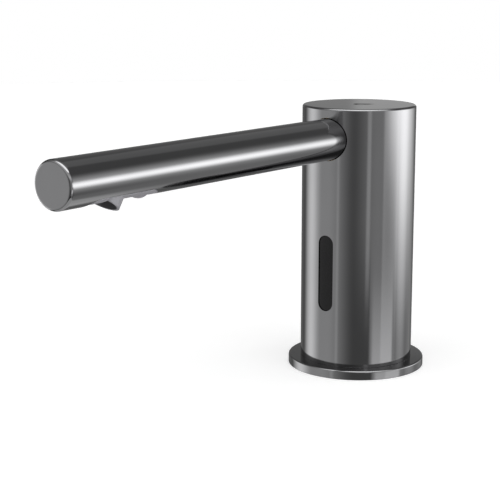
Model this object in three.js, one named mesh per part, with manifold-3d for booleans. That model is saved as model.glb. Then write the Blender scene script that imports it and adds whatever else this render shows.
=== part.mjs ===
// Automatic soap dispenser: column, spout and outlet that stand on a wash basin's deck.
// Millimetres, +Z up, spout along -Y, origin on the column's axis at the deck.
import * as THREE from "three";
import { mergeVertices, toCreasedNormals } from "three/addons/utils/BufferGeometryUtils.js";
import Module from "manifold-3d";

const wasm = await Module();
wasm.setup();

// Driving sizes of the whole
const columnDiameter = 44.5;
const overallHeight = 104.4;
const spoutDiameter = 16;
const spoutReach = 166.3;
const spoutDrop = 11.9;
const flangeOverhang = 4.85;
const flangeThickness = 3.6;
const windowWidth = 6.7;
const windowHeight = 30;

// Walls and clearances
const columnWall = 2;
const spoutWall = 1;
const fitGap = 0.3;
const slotGap = 0.25;
const sealGap = 0.15;
const threadGap = 0.2;
const overrun = 3;

// Column shell and top cap
const columnFootChamfer = 0.15;
const capLip = 1;
const capEdgeShare = 0.92;
const capSpigotHeight = 1.8;
const capSealCord = 0.5;
const capGrooveDepth = 1.05;
const retainingGrooveDepth = 0.8;
const retainingRingWidth = 1.75;
const retainingRingThickness = 1;
const retainingRingOpening = 9;

// Base flange and gasket
const flangeEdgeRound = 0.6;
const flangeFootChamfer = 0.2;
const gasketWidth = 4;
const gasketThickness = 1.2;
const gasketInset = 1.6;

// Base mount
const mountBodyInset = 1.55;
const mountTop = 14;
const mountWebThickness = 8;
const mountCupWall = 2;
const mountWindowLedge = 1;
const mountBarHalfWidth = 6.3;
const studSocketRadius = 3.4;
const studSocketDepth = 6.5;
const studSpacing = 20;
const mountSealCord = 0.7;
const mountGrooveDepth = 1.45;
const mountGrooveHeight = 1.8;
const mountGrooveLift = 2.3;
const keywayHalfWidth = 2.4;
const keywayDepth = 2;
const keywayFloorLift = 5.6;

// Set screw at the back of the column
const setScrewRadius = 2;
const setScrewHeight = 11.5;
const setScrewRecess = 0.4;
const setScrewKeyRadius = 1.15;
const setScrewKeyDepth = 1.8;

// Sensor behind the window
const lensGap = 0.2;
const lensRecess = 0.4;
const lensFlangeMargin = 1.65;
const lensFlangeThickness = 1;
const lensGasketGap = 1.05;
const housingWidth = 15;
const housingDepth = 9;
const housingWall = 2.2;
const housingBack = 1.4;
const housingEndBlock = 4.4;
const housingFloorGap = 1.2;
const boardLedge = 2;
const boardLedgeHeight = 1.9;
const boardThickness = 1.2;
const baffleThickness = 1.6;
const diodeRadius = 1.5;
const diodeRimRadius = 1.9;
const diodeRimThickness = 0.8;
const diodeLength = 3.6;
const diodeSpacing = 15;
const plugWidth = 5;
const plugHeight = 4;
const plugThickness = 1.5;
const plugDrop = 10;
const sensorScrewRadius = 0.9;
const sensorScrewLength = 5;
const sensorScrewHeadRadius = 1.9;
const sensorScrewHeadHeight = 1.3;
const sensorScrewSlotWidth = 0.5;
const sensorScrewSlotDepth = 0.6;

// Inner chassis
const chassisDiscThickness = 2.5;
const chassisPlateThickness = 2;
const chassisPlateWidth = 16;
const chassisTopDiscHoleGap = 0.5;

// Inlets at the foot of the chassis
const inletAcrossShare = 0.485;
const inletBackShare = 0.545;
const connectorBackShare = 0.667;
const inletPortLength = 6.2;
const soapPortRadius = 2.9;
const airPortRadius = 2.4;
const inletFlangeWidth = 1.3;
const inletFlangeThickness = 2;
const inletBarbLength = 6.5;
const inletBoreShare = 0.5;
const leadConnectorRadius = 2.9;
const leadConnectorPocketDepth = 4;
const leadConnectorWall = 0.7;
const leadConnectorPinRadius = 0.4;
const leadConnectorPinLength = 3.2;
const leadConnectorPins = 3;
const leadConnectorPinCircleShare = 0.5;
const leadConnectorHead = 2.4;

// Hoses and lead
const soapTubeRadius = 2.5;
const soapTubeWall = 0.8;
const airTubeRadius = 2;
const airTubeWall = 0.7;
const tubeBendRadius = 14.5;
const leadRadius = 1.3;
const hoseStraightLength = 12;
const hoseSpreadShares = [0.12, 0.45, 0.85];
const leadDropShare = 0.125;
const leadSweepShare = 0.25;

// Spout root inside the column
const rootInset = 1.2;
const rootThreadLength = 5;
const rootShoulderInset = 1.75;
const rootBoreStep = 2;
const saddleRim = 2.4;
const saddleDepth = 5.75;
const saddleHeadroom = 0.4;
const spoutWasherThickness = 1;
const spoutWasherRadius = 8.3;
const spoutNutRadius = 8.5;
const spoutNutLength = 3.6;
const spoutNutSlotWidth = 2;
const spoutNutSlotDepth = 0.8;

// Spout end cap
const endCapThickness = 1.6;
const endCapEdgeRound = 0.9;
const endCapSpigotLength = 3.5;
const endCapSealCord = 0.55;
const endCapGrooveDepth = 1.05;
const endCapGrooveWidth = 1.4;

// Cut-out under the spout, and the insert that fills it
const cutoutStart = 10;
const cutoutTail = 6.8;
const insertInset = 2.45;
const insertSkinInset = 0.05;
const insertFlatDepth = 0.9;
const insertTailGap = 0.5;
const insertTop = 0.8;
const hoodTilt = THREE.MathUtils.degToRad(33);
const hoodSetback = 10.8;
const hoodSink = 0.4;
const hoodLength = 8.2;
const hoodStretch = 0.9;
const hoodWall = 0.9;
const hoodBoreDepth = 5.6;

// Foam screens
const screenThickness = 0.5;
const screenSpacing = 1;
const screenBar = 0.5;
const screenCells = 5;
const screenCageWidth = 0.8;
const screenPitchShare = 0.34;

// Check valve over the outlet
const valveSetback = 4.6;
const spigotRadius = 3.2;
const spigotTop = 4.2;
const valveBoreRadius = 2;
const valveLedge = 0.4;
const valveThroat = 1.1;
const valveThroatDepth = 5.9;
const valveSeatThickness = 0.8;
const valveSeatBore = 0.9;
const poppetRadius = 1.65;
const poppetHeadHeight = 1;
const poppetHeadRound = 0.5;
const poppetStemRadius = 0.6;
const poppetStemLength = 3.5;
const valveSpringWire = 0.18;
const valveSpringRadius = 1.45;
const valveSpringTurns = 2.5;
const nozzleSealCord = 0.45;
const nozzleSealGrooveDepth = 0.8;
const nozzleSealLift = 0.6;

// Release button behind the outlet
const buttonSpacing = 12.5;
const buttonRadius = 3.3;
const buttonDome = 1.6;
const buttonStem = 2.2;
const buttonFlangeWidth = 0.6;
const buttonFlangeThickness = 1;
const buttonSpringWire = 0.25;
const buttonSpringRadius = 2.9;
const buttonSpringTurns = 3;
const buttonRetainerThickness = 1.1;
const springSeatGap = 0.1;

// Mixing block in the spout's end
const mixerRearCollar = 4.7;
const mixerFrontGap = 0.5;
const mixerFlat = 1.1;
const mixerSocketHeadroom = 0.3;
const mixerSealCord = 0.55;
const mixerGrooveDepth = 1.05;
const mixerGrooveWidth = 1.4;
const mixerBarbLength = 6;
const hoseHeightShare = 0.357;
const soapHoseShare = 0.379;
const airHoseShare = 0.421;
const soapChannelRadius = 0.8;
const airChannelRadius = 0.6;

// Facets round a full circle
const columnSides = 56;
const mountSides = 40;
const spoutSides = 36;
const sealSides = 24;
const fittingSides = 20;
const smallSides = 12;
const cordSides = 6;
const hoseSides = 8;
const wireSides = 6;
const wireStepsPerTurn = 10;
const hoseSteps = 26;
const leadSteps = 12;
const roundSteps = 3;
const domeSteps = 6;

// Sizes that follow from the driving ones
const columnRadius = columnDiameter / 2;
const columnBore = columnRadius - columnWall;
const columnTop = overallHeight - capLip;
const innerFit = columnBore - fitGap;
const spoutRadius = spoutDiameter / 2;
const spoutBore = spoutRadius - spoutWall;
const spoutAxisHeight = overallHeight - spoutDrop;
const spoutFit = spoutBore - fitGap;
const tubeEnd = spoutReach - endCapThickness;
const flangeRadius = columnRadius + flangeOverhang;
const mountBodyRadius = innerFit - mountBodyInset;
const mountCupRadius = innerFit - mountGrooveDepth - mountCupWall;
const mountWindowRadius = mountCupRadius - mountWindowLedge;
const soapInletX = -mountCupRadius * inletAcrossShare;
const airInletX = mountCupRadius * inletAcrossShare;
const inletY = mountCupRadius * inletBackShare;
const leadConnectorY = mountCupRadius * connectorBackShare;
const rootRadius = spoutRadius - rootInset;
const rootShoulder = columnBore - rootShoulderInset;
const saddleInnerFace = columnBore - saddleDepth;
const saddleRadius = spoutRadius + saddleRim;
const rootInnerEnd = saddleInnerFace - rootThreadLength;
const hoseHeightInSpout = spoutBore * hoseHeightShare;
const soapHoseX = -spoutBore * soapHoseShare;
const airHoseX = spoutBore * airHoseShare;
const insertHalfWidth = spoutRadius - insertInset;
const hoodDepth = spoutRadius - hoodSink;
const retainingGrooveFloor = mountTop + fitGap;
const retainingGrooveTop = retainingGrooveFloor + retainingRingThickness + threadGap;
const chassisFloor = retainingGrooveTop + threadGap;
const chassisFloorTop = chassisFloor + chassisDiscThickness;
const lensBack = innerFit - lensGasketGap - lensFlangeThickness;
const lensFlangeFront = lensBack + lensFlangeThickness;
const lensFlangeWidth = windowWidth + 2 * lensFlangeMargin;
const lensFlangeHeight = windowHeight + 2 * lensFlangeMargin;
const housingFront = lensBack;
const housingRear = housingFront - housingDepth;
const pocketHeight = lensFlangeHeight - fitGap;
const housingHeight = pocketHeight + 2 * housingEndBlock;
const windowCentreHeight = chassisFloorTop + housingFloorGap + housingHeight / 2;
const housingTop = windowCentreHeight + housingHeight / 2;
const boardBack = housingRear + housingBack + boardLedgeHeight;
const boardFront = boardBack + boardThickness;
const sensorScrewOffset = (housingHeight - housingEndBlock) / 2;
const leadHeight = windowCentreHeight - plugDrop;
const chassisTopDiscFloor = housingTop + fitGap;
const chassisTop = chassisTopDiscFloor + chassisDiscThickness;
const hoodDistance = cutoutStart + hoodSetback;
const valveDistance = hoodDistance + valveSetback;
const buttonDistance = valveDistance + buttonSpacing;
const cutoutLength = buttonDistance + cutoutTail - cutoutStart;
const mixerRear = spoutReach - cutoutStart - cutoutLength - fitGap - mixerRearCollar;
const mixerFront = tubeEnd - endCapSpigotLength - mixerFrontGap;
const cutoutHalfWidth = insertHalfWidth + slotGap;
const insertFloor = -(spoutRadius - insertFlatDepth);
const hoodBoreRadius = insertHalfWidth - hoodWall;
const buttonBore = buttonRadius + fitGap;
const buttonFlangeRadius = buttonRadius + buttonFlangeWidth;
const buttonUpperBore = buttonFlangeRadius + fitGap;
const buttonFlangeFloor = insertFloor + buttonStem;
const buttonRetainerFloor = insertTop - buttonRetainerThickness;
const outerScreenFloor = hoodBoreDepth - 2 * screenThickness - screenSpacing;

// Finishes
const finishes = {
  gunmetal: new THREE.MeshStandardMaterial({ color: 0x6e6e70, roughness: 0.12, metalness: 1 }),
  brass: new THREE.MeshStandardMaterial({ color: 0xb08d57, roughness: 0.35, metalness: 1 }),
  steel: new THREE.MeshStandardMaterial({ color: 0xa8aaac, roughness: 0.3, metalness: 1 }),
  blackSteel: new THREE.MeshStandardMaterial({ color: 0x2c2c2e, roughness: 0.4, metalness: 1 }),
  greyPlastic: new THREE.MeshStandardMaterial({ color: 0x6d6b72, roughness: 0.45, metalness: 0 }),
  blackPlastic: new THREE.MeshStandardMaterial({ color: 0x1b1b1c, roughness: 0.5, metalness: 0 }),
  whitePlastic: new THREE.MeshStandardMaterial({ color: 0xe4e4e0, roughness: 0.5, metalness: 0 }),
  darkWindow: new THREE.MeshStandardMaterial({ color: 0x141416, roughness: 0.08, metalness: 0 }),
  rubber: new THREE.MeshStandardMaterial({ color: 0x1a1a1a, roughness: 0.8, metalness: 0 }),
  clearHose: new THREE.MeshStandardMaterial({ color: 0xd8dce0, roughness: 0.25, metalness: 0 }),
  blueHose: new THREE.MeshStandardMaterial({ color: 0x4d7fb5, roughness: 0.35, metalness: 0 }),
  board: new THREE.MeshStandardMaterial({ color: 0x1f5a36, roughness: 0.5, metalness: 0 }),
  diode: new THREE.MeshStandardMaterial({ color: 0x2a2236, roughness: 0.15, metalness: 0 }),
  foamMesh: new THREE.MeshStandardMaterial({ color: 0xb9bcbe, roughness: 0.45, metalness: 0.6 }),
};

// A closed geometry as a solid that can be cut and joined.
function solidOf(geometry) {
  const bare = geometry.clone();
  bare.deleteAttribute("normal");
  bare.deleteAttribute("uv");
  const merged = mergeVertices(bare);
  const corners = merged.index.array;
  const triVerts = [];
  for (let i = 0; i < corners.length; i += 3) {
    const [a, b, c] = [corners[i], corners[i + 1], corners[i + 2]];
    if (a !== b && b !== c && c !== a) triVerts.push(a, b, c);
  }
  return new wasm.Manifold(
    new wasm.Mesh({
      numProp: 3,
      vertProperties: merged.attributes.position.array,
      triVerts: new Uint32Array(triVerts),
    }),
  );
}

// A solid as a geometry again.
function geometryOf(solid) {
  const { vertProperties, triVerts, numProp } = solid.getMesh();
  const positions = new Float32Array((vertProperties.length / numProp) * 3);
  for (let i = 0; i < positions.length / 3; i++) {
    positions.set(vertProperties.subarray(i * numProp, i * numProp + 3), i * 3);
  }
  const geometry = new THREE.BufferGeometry();
  geometry.setAttribute("position", new THREE.BufferAttribute(positions, 3));
  geometry.setIndex(new THREE.BufferAttribute(new Uint32Array(triVerts), 1));
  return geometry;
}

function cut(body, ...tools) {
  return geometryOf(tools.reduce((left, tool) => left.subtract(solidOf(tool)), solidOf(body)));
}

function join(body, ...others) {
  return geometryOf(others.reduce((whole, other) => whole.add(solidOf(other)), solidOf(body)));
}

function common(body, limit) {
  return geometryOf(solidOf(body).intersect(solidOf(limit)));
}

// A body of revolution about Z: [radius, height] pairs, up the outside and then down the inside.
function turned(profile, sides) {
  const points = profile.map(([radius, height]) => new THREE.Vector2(radius, height));
  return new THREE.LatheGeometry(points, sides).rotateX(Math.PI / 2);
}

function rod(radius, from, to, sides = fittingSides) {
  const profile = [
    [0, from],
    [radius, from],
    [radius, to],
    [0, to],
  ];
  return turned(profile, sides);
}

function ring(inner, outer, from, to, sides = fittingSides) {
  const profile = [
    [inner, from],
    [outer, from],
    [outer, to],
    [inner, to],
    [inner, from],
  ];
  return turned(profile, sides);
}

// Points of a quarter round that turns from the wall at radius into the face at height.
function upperRound(radius, height, round) {
  const points = [];
  for (let step = 0; step <= roundSteps; step++) {
    const angle = (Math.PI / 2) * (step / roundSteps);
    const inset = round * (1 - Math.cos(angle));
    points.push([radius - inset, height - round * (1 - Math.sin(angle))]);
  }
  return points;
}

function sealRing(centreRadius, cord, height, sides = sealSides) {
  return new THREE.TorusGeometry(centreRadius, cord, cordSides, sides).translate(0, 0, height);
}

function box(width, depth, height, x, y, z) {
  return new THREE.BoxGeometry(width, depth, height).translate(x, y, z);
}

// A box between two opposite corners.
function boxBetween([x0, y0, z0], [x1, y1, z1]) {
  return box(x1 - x0, y1 - y0, z1 - z0, (x0 + x1) / 2, (y0 + y1) / 2, (z0 + z1) / 2);
}

function prism(shape, from, to, curveSegments = smallSides / 2) {
  const options = { depth: to - from, bevelEnabled: false, curveSegments };
  return new THREE.ExtrudeGeometry(shape, options).translate(0, 0, from);
}

// A slot outline with round ends, its length along Y.
function stadium(width, length) {
  const radius = width / 2;
  const straight = length / 2 - radius;
  const shape = new THREE.Shape();
  shape.absarc(0, straight, radius, 0, Math.PI, false);
  shape.absarc(0, -straight, radius, Math.PI, 2 * Math.PI, false);
  shape.closePath();
  return shape;
}

// Turns a shape that was made along +Z so that +Z points out of the column's front and +Y points up.
function toFront(geometry) {
  return geometry.rotateX(Math.PI / 2);
}

// A tube or wire along a curve.
function along(curve, radius, steps, sides, boreRadius = 0) {
  const shape = new THREE.Shape();
  shape.absarc(0, 0, radius, 0, 2 * Math.PI, false);
  if (boreRadius > 0) {
    const bore = new THREE.Path();
    bore.absarc(0, 0, boreRadius, 0, 2 * Math.PI, true);
    shape.holes.push(bore);
  }
  return new THREE.ExtrudeGeometry(shape, { steps, extrudePath: curve, curveSegments: sides / 2 });
}

class Helix extends THREE.Curve {
  constructor(radius, bottom, top, turns) {
    super();
    this.radius = radius;
    this.bottom = bottom;
    this.top = top;
    this.turns = turns;
  }

  getPoint(t, target = new THREE.Vector3()) {
    const angle = 2 * Math.PI * this.turns * t;
    const height = THREE.MathUtils.lerp(this.bottom, this.top, t);
    return target.set(this.radius * Math.cos(angle), this.radius * Math.sin(angle), height);
  }
}

// A compression spring that stands between two faces.
function spring(radius, wire, floor, ceiling, turns) {
  const margin = wire + springSeatGap;
  const helix = new Helix(radius, floor + margin, ceiling - margin, turns);
  return along(helix, wire, Math.round(turns * wireStepsPerTurn), wireSides);
}

const crease = THREE.MathUtils.degToRad(30);

function piece(parent, name, geometry, finish) {
  const closed = geometryOf(solidOf(geometry));
  const mesh = new THREE.Mesh(toCreasedNormals(closed, crease), finish);
  mesh.name = name;
  parent.add(mesh);
  return mesh;
}

function group(parent) {
  const made = new THREE.Group();
  parent.add(made);
  return made;
}

// Base: gasket, flange and mount

function gasketOuterRadius() {
  return flangeRadius - gasketInset;
}

function baseGasket() {
  const outer = gasketOuterRadius();
  return ring(outer - gasketWidth, outer, 0, gasketThickness, mountSides);
}

function baseFlange() {
  const bore = mountBodyRadius + fitGap;
  const grooveOuter = gasketOuterRadius() + fitGap;
  const grooveInner = gasketOuterRadius() - gasketWidth - fitGap;
  const grooveTop = gasketThickness + fitGap;
  const profile = [
    [bore, 0],
    [grooveInner, 0],
    [grooveInner, grooveTop],
    [grooveOuter, grooveTop],
    [grooveOuter, 0],
    [flangeRadius - flangeFootChamfer, 0],
    [flangeRadius, flangeFootChamfer],
    ...upperRound(flangeRadius, flangeThickness, flangeEdgeRound),
    [bore, flangeThickness],
    [bore, 0],
  ];
  return turned(profile, columnSides);
}

// One of the two passages beside the mount's centre bar, on the side that sign gives.
function mountWindow(sign) {
  const near = sign * mountBarHalfWidth;
  const far = sign * (mountWindowRadius + overrun);
  const half = boxBetween(
    [-mountWindowRadius - overrun, Math.min(near, far), -overrun],
    [mountWindowRadius + overrun, Math.max(near, far), mountWebThickness + overrun],
  );
  return common(rod(mountWindowRadius, -overrun, mountWebThickness + overrun), half);
}

function baseMount() {
  const grooveFloor = flangeThickness + mountGrooveLift;
  const grooveRadius = innerFit - mountGrooveDepth;
  const profile = [
    [0, 0],
    [mountBodyRadius, 0],
    [mountBodyRadius, flangeThickness],
    [innerFit, flangeThickness],
    [innerFit, grooveFloor],
    [grooveRadius, grooveFloor],
    [grooveRadius, grooveFloor + mountGrooveHeight],
    [innerFit, grooveFloor + mountGrooveHeight],
    [innerFit, mountTop],
    [mountCupRadius, mountTop],
    [mountCupRadius, mountWebThickness],
    [0, mountWebThickness],
  ];
  const keyway = boxBetween(
    [-keywayHalfWidth, innerFit - keywayDepth, flangeThickness + keywayFloorLift],
    [keywayHalfWidth, innerFit + overrun, mountTop + overrun],
  );
  const sockets = [-1, 1].map((sign) =>
    rod(studSocketRadius, -overrun, studSocketDepth).translate((sign * studSpacing) / 2, 0, 0),
  );
  return cut(turned(profile, mountSides), keyway, mountWindow(-1), mountWindow(1), ...sockets);
}

function mountSeal() {
  const centreHeight = flangeThickness + mountGrooveLift + mountGrooveHeight / 2;
  return sealRing(columnBore - sealGap - mountSealCord, mountSealCord, centreHeight);
}

function addBase(parent) {
  piece(parent, "base_gasket", baseGasket(), finishes.rubber);
  piece(parent, "base_flange", baseFlange(), finishes.gunmetal);
  piece(parent, "base_mount", baseMount(), finishes.gunmetal);
  piece(parent, "mount_seal", mountSeal(), finishes.rubber);
}

// Column shell, top cap and retaining ring

function windowCut() {
  const slot = prism(stadium(windowWidth, windowHeight), 0, columnRadius + overrun);
  return toFront(slot).translate(0, 0, windowCentreHeight);
}

function columnShell() {
  const grooveRadius = columnBore + retainingGrooveDepth;
  const profile = [
    [columnBore, flangeThickness],
    [columnRadius - columnFootChamfer, flangeThickness],
    [columnRadius, flangeThickness + columnFootChamfer],
    [columnRadius, columnTop],
    [columnBore, columnTop],
    [columnBore, retainingGrooveTop],
    [grooveRadius, retainingGrooveTop],
    [grooveRadius, retainingGrooveFloor],
    [columnBore, retainingGrooveFloor],
    [columnBore, flangeThickness],
  ];
  const spoutHole = toFront(rod(spoutRadius + slotGap, 0, columnRadius + overrun, spoutSides));
  const screwHole = toFront(rod(setScrewRadius + threadGap, -columnRadius - overrun, 0, smallSides));
  return cut(
    turned(profile, columnSides),
    spoutHole.translate(0, 0, spoutAxisHeight),
    screwHole.translate(0, 0, setScrewHeight),
    windowCut(),
  );
}

function topCap() {
  const grooveRadius = innerFit - capGrooveDepth;
  const spigotFloor = columnTop - capSpigotHeight;
  const grooveHalf = capSealCord + sealGap / 2;
  const grooveMiddle = columnTop - capSpigotHeight / 2;
  const profile = [
    [0, spigotFloor],
    [innerFit, spigotFloor],
    [innerFit, grooveMiddle - grooveHalf],
    [grooveRadius, grooveMiddle - grooveHalf],
    [grooveRadius, grooveMiddle + grooveHalf],
    [innerFit, grooveMiddle + grooveHalf],
    [innerFit, columnTop],
    [columnRadius, columnTop],
    ...upperRound(columnRadius, overallHeight, capLip * capEdgeShare),
    [0, overallHeight],
  ];
  return turned(profile, columnSides);
}

function capSeal() {
  const centreHeight = columnTop - capSpigotHeight / 2;
  return sealRing(columnBore - sealGap - capSealCord, capSealCord, centreHeight);
}

function retainingRing() {
  const outer = columnBore + retainingGrooveDepth - threadGap;
  const floor = retainingGrooveFloor + threadGap / 2;
  const whole = ring(outer - retainingRingWidth, outer, floor, floor + retainingRingThickness, mountSides);
  const opening = boxBetween(
    [-retainingRingOpening / 2, 0, floor - overrun],
    [retainingRingOpening / 2, outer + overrun, floor + retainingRingThickness + overrun],
  );
  return cut(whole, opening);
}

function addColumn(parent) {
  piece(parent, "column_shell", columnShell(), finishes.gunmetal);
  piece(parent, "top_cap", topCap(), finishes.gunmetal);
  piece(parent, "cap_seal", capSeal(), finishes.rubber);
  piece(parent, "retaining_ring", retainingRing(), finishes.steel);
}

// Set screw

function setScrew() {
  const tip = innerFit - keywayDepth + fitGap;
  const face = columnRadius - setScrewRecess;
  const body = rod(setScrewRadius, tip, face, smallSides);
  const key = rod(setScrewKeyRadius, face - setScrewKeyDepth, face + overrun, wireSides);
  return cut(body, key);
}

// The screw is made along +Z, and its group turns +Z to the back of the column.
function addSetScrew(parent) {
  const back = group(parent);
  back.position.set(0, 0, setScrewHeight);
  back.rotation.x = -Math.PI / 2;
  piece(back, "set_screw", setScrew(), finishes.blackSteel);
}

// Sensor: lens, gasket, housing, board and diodes. The group's +Z points out of the column's front,
// +Y is up and its origin is on the column's axis at the window's height.

// The column's round, as a rod along the sensor group's Y.
function uprightRound(radius) {
  return rod(radius, -overallHeight, overallHeight, columnSides).rotateX(Math.PI / 2);
}

function sensorLens() {
  const stem = stadium(windowWidth - 2 * lensGap, windowHeight - 2 * lensGap);
  const front = common(prism(stem, lensBack, columnRadius), uprightRound(columnRadius - lensRecess));
  const flange = prism(stadium(lensFlangeWidth, lensFlangeHeight), lensBack, lensFlangeFront);
  return join(front, flange);
}

function lensGasket() {
  const outer = stadium(lensFlangeWidth, lensFlangeHeight);
  const inner = stadium(windowWidth + 2 * lensGap, windowHeight + 2 * lensGap);
  const block = common(prism(outer, lensFlangeFront, columnRadius), uprightRound(innerFit));
  return cut(block, prism(inner, lensFlangeFront - overrun, columnRadius + overrun));
}

function sensorHousing() {
  const halfWidth = housingWidth / 2;
  const halfPocket = halfWidth - housingWall;
  const ledgeHeight = pocketHeight / 2 - boardLedge;
  const floor = housingRear + housingBack;
  const block = boxBetween(
    [-halfWidth, -housingHeight / 2, housingRear],
    [halfWidth, housingHeight / 2, housingFront],
  );
  const pocket = boxBetween(
    [-halfPocket, -pocketHeight / 2, boardBack],
    [halfPocket, pocketHeight / 2, housingFront + overrun],
  );
  const underBoard = boxBetween([-halfPocket, -ledgeHeight, floor], [halfPocket, ledgeHeight, boardFront]);
  const baffle = boxBetween(
    [-halfPocket - housingWall / 2, -baffleThickness / 2, boardFront + fitGap],
    [halfPocket + housingWall / 2, baffleThickness / 2, housingFront],
  );
  const leadHole = rod(leadRadius + fitGap, housingRear - overrun, floor + overrun, smallSides);
  const screwHoles = [-1, 1].map((sign) => {
    const hole = rod(
      sensorScrewRadius + fitGap,
      housingRear - overrun,
      housingRear + sensorScrewLength + fitGap,
      smallSides,
    );
    return hole.translate(0, sign * sensorScrewOffset, 0);
  });
  const tray = cut(block, pocket, underBoard, leadHole.translate(0, -plugDrop, 0), ...screwHoles);
  return join(tray, baffle);
}

function sensorBoard() {
  const halfWidth = housingWidth / 2 - housingWall - fitGap;
  const halfHeight = pocketHeight / 2 - fitGap;
  return boxBetween([-halfWidth, -halfHeight, boardBack], [halfWidth, halfHeight, boardFront]);
}

function diode(sign) {
  const rimTop = boardFront + diodeRimThickness;
  const domeFloor = boardFront + diodeLength - diodeRadius;
  const profile = [
    [0, boardFront],
    [diodeRimRadius, boardFront],
    [diodeRimRadius, rimTop],
    [diodeRadius, rimTop],
    ...upperRound(diodeRadius, domeFloor + diodeRadius, diodeRadius),
  ];
  return turned(profile, smallSides).translate(0, (sign * diodeSpacing) / 2, 0);
}

function boardPlug() {
  const floor = boardBack - plugThickness;
  return boxBetween(
    [-plugWidth / 2, -plugDrop - plugHeight / 2, floor],
    [plugWidth / 2, -plugDrop + plugHeight / 2, boardBack],
  );
}

// A pan head screw from behind the chassis plate into the housing.
function sensorScrew(sign) {
  const plateRear = housingRear - chassisPlateThickness;
  const headFloor = plateRear - sensorScrewHeadHeight;
  const profile = [
    [0, headFloor],
    [sensorScrewHeadRadius, headFloor],
    [sensorScrewHeadRadius, plateRear],
    [sensorScrewRadius, plateRear],
    [sensorScrewRadius, housingRear + sensorScrewLength],
    [0, housingRear + sensorScrewLength],
  ];
  const reach = sensorScrewHeadRadius + overrun;
  const slot = boxBetween(
    [-sensorScrewSlotWidth / 2, -reach, headFloor - overrun],
    [sensorScrewSlotWidth / 2, reach, headFloor + sensorScrewSlotDepth],
  );
  return cut(turned(profile, smallSides), slot).translate(0, sign * sensorScrewOffset, 0);
}

function addSensor(parent) {
  const front = group(parent);
  front.position.set(0, 0, windowCentreHeight);
  front.rotation.x = Math.PI / 2;
  piece(front, "sensor_lens", sensorLens(), finishes.darkWindow);
  piece(front, "lens_gasket", lensGasket(), finishes.rubber);
  piece(front, "sensor_housing", sensorHousing(), finishes.blackPlastic);
  piece(front, "sensor_board", sensorBoard(), finishes.board);
  piece(front, "infrared_emitter", diode(1), finishes.diode);
  piece(front, "infrared_receiver", diode(-1), finishes.diode);
  piece(front, "board_plug", boardPlug(), finishes.whitePlastic);
  piece(front, "sensor_screw_upper", sensorScrew(1), finishes.steel);
  piece(front, "sensor_screw_lower", sensorScrew(-1), finishes.steel);
}

// Inner chassis with the inlets, hoses and lead

function hoseHole(x, radius) {
  const hole = rod(
    radius + chassisTopDiscHoleGap,
    chassisTopDiscFloor - overrun,
    chassisTop + overrun,
    smallSides,
  );
  return hole.translate(x, inletY, 0);
}

function floorHole(x, y, radius) {
  const hole = rod(radius + fitGap, chassisFloor - overrun, chassisFloorTop + overrun, smallSides);
  return hole.translate(x, y, 0);
}

function innerChassis() {
  const plateFront = -housingRear;
  const plateRear = plateFront + chassisPlateThickness;
  const floorDisc = rod(innerFit, chassisFloor, chassisFloorTop, mountSides);
  const topDisc = rod(innerFit, chassisTopDiscFloor, chassisTop, mountSides);
  const plate = boxBetween(
    [-chassisPlateWidth / 2, plateFront, chassisFloorTop - chassisDiscThickness / 2],
    [chassisPlateWidth / 2, plateRear, chassisTop - chassisDiscThickness / 2],
  );
  const leadHole = toFront(rod(leadRadius + fitGap, 0, housingFront, smallSides));
  const screwHoles = [-1, 1].map((sign) => {
    const hole = toFront(rod(sensorScrewRadius + fitGap, 0, housingRear + overrun, smallSides));
    return hole.translate(0, 0, windowCentreHeight + sign * sensorScrewOffset);
  });
  return cut(
    join(floorDisc, topDisc, plate),
    leadHole.translate(0, 0, leadHeight),
    ...screwHoles,
    hoseHole(soapInletX, soapTubeRadius),
    hoseHole(airInletX, airTubeRadius),
    floorHole(soapInletX, inletY, soapPortRadius),
    floorHole(airInletX, inletY, airPortRadius),
    floorHole(0, leadConnectorY, leadConnectorRadius),
  );
}

// A hose nipple: port below the chassis floor, flange on it, and a barb for the hose above.
function inlet(portRadius, hoseBore) {
  const barbRadius = hoseBore - fitGap;
  const boreRadius = barbRadius * inletBoreShare;
  const flangeTop = chassisFloorTop + inletFlangeThickness;
  const barbTop = flangeTop + inletBarbLength;
  const portFloor = chassisFloor - inletPortLength;
  const profile = [
    [boreRadius, portFloor],
    [portRadius, portFloor],
    [portRadius, chassisFloorTop],
    [portRadius + inletFlangeWidth, chassisFloorTop],
    [portRadius + inletFlangeWidth, flangeTop],
    [barbRadius, flangeTop],
    [barbRadius, barbTop],
    [boreRadius, barbTop],
    [boreRadius, portFloor],
  ];
  return turned(profile, smallSides);
}

function leadConnector() {
  const floor = chassisFloor - inletPortLength;
  const flangeTop = chassisFloorTop + inletFlangeThickness;
  const pocketRadius = leadConnectorRadius - leadConnectorWall;
  const pocketTop = floor + leadConnectorPocketDepth;
  const profile = [
    [0, pocketTop],
    [pocketRadius, pocketTop],
    [pocketRadius, floor],
    [leadConnectorRadius, floor],
    [leadConnectorRadius, chassisFloorTop],
    [leadConnectorRadius + inletFlangeWidth, chassisFloorTop],
    [leadConnectorRadius + inletFlangeWidth, flangeTop],
    [leadConnectorRadius, flangeTop],
    [leadConnectorHead, flangeTop + leadConnectorHead],
    [0, flangeTop + leadConnectorHead],
  ];
  const pinFloor = pocketTop - leadConnectorPinLength;
  const pinCircle = pocketRadius * leadConnectorPinCircleShare;
  const pins = Array.from({ length: leadConnectorPins }, (unused, index) => {
    const angle = (2 * Math.PI * index) / leadConnectorPins;
    const pin = rod(leadConnectorPinRadius, pinFloor, pocketTop + leadConnectorWall, cordSides);
    return pin.translate(pinCircle * Math.cos(angle), pinCircle * Math.sin(angle), 0);
  });
  return join(turned(profile, smallSides), ...pins).translate(0, leadConnectorY, 0);
}

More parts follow.
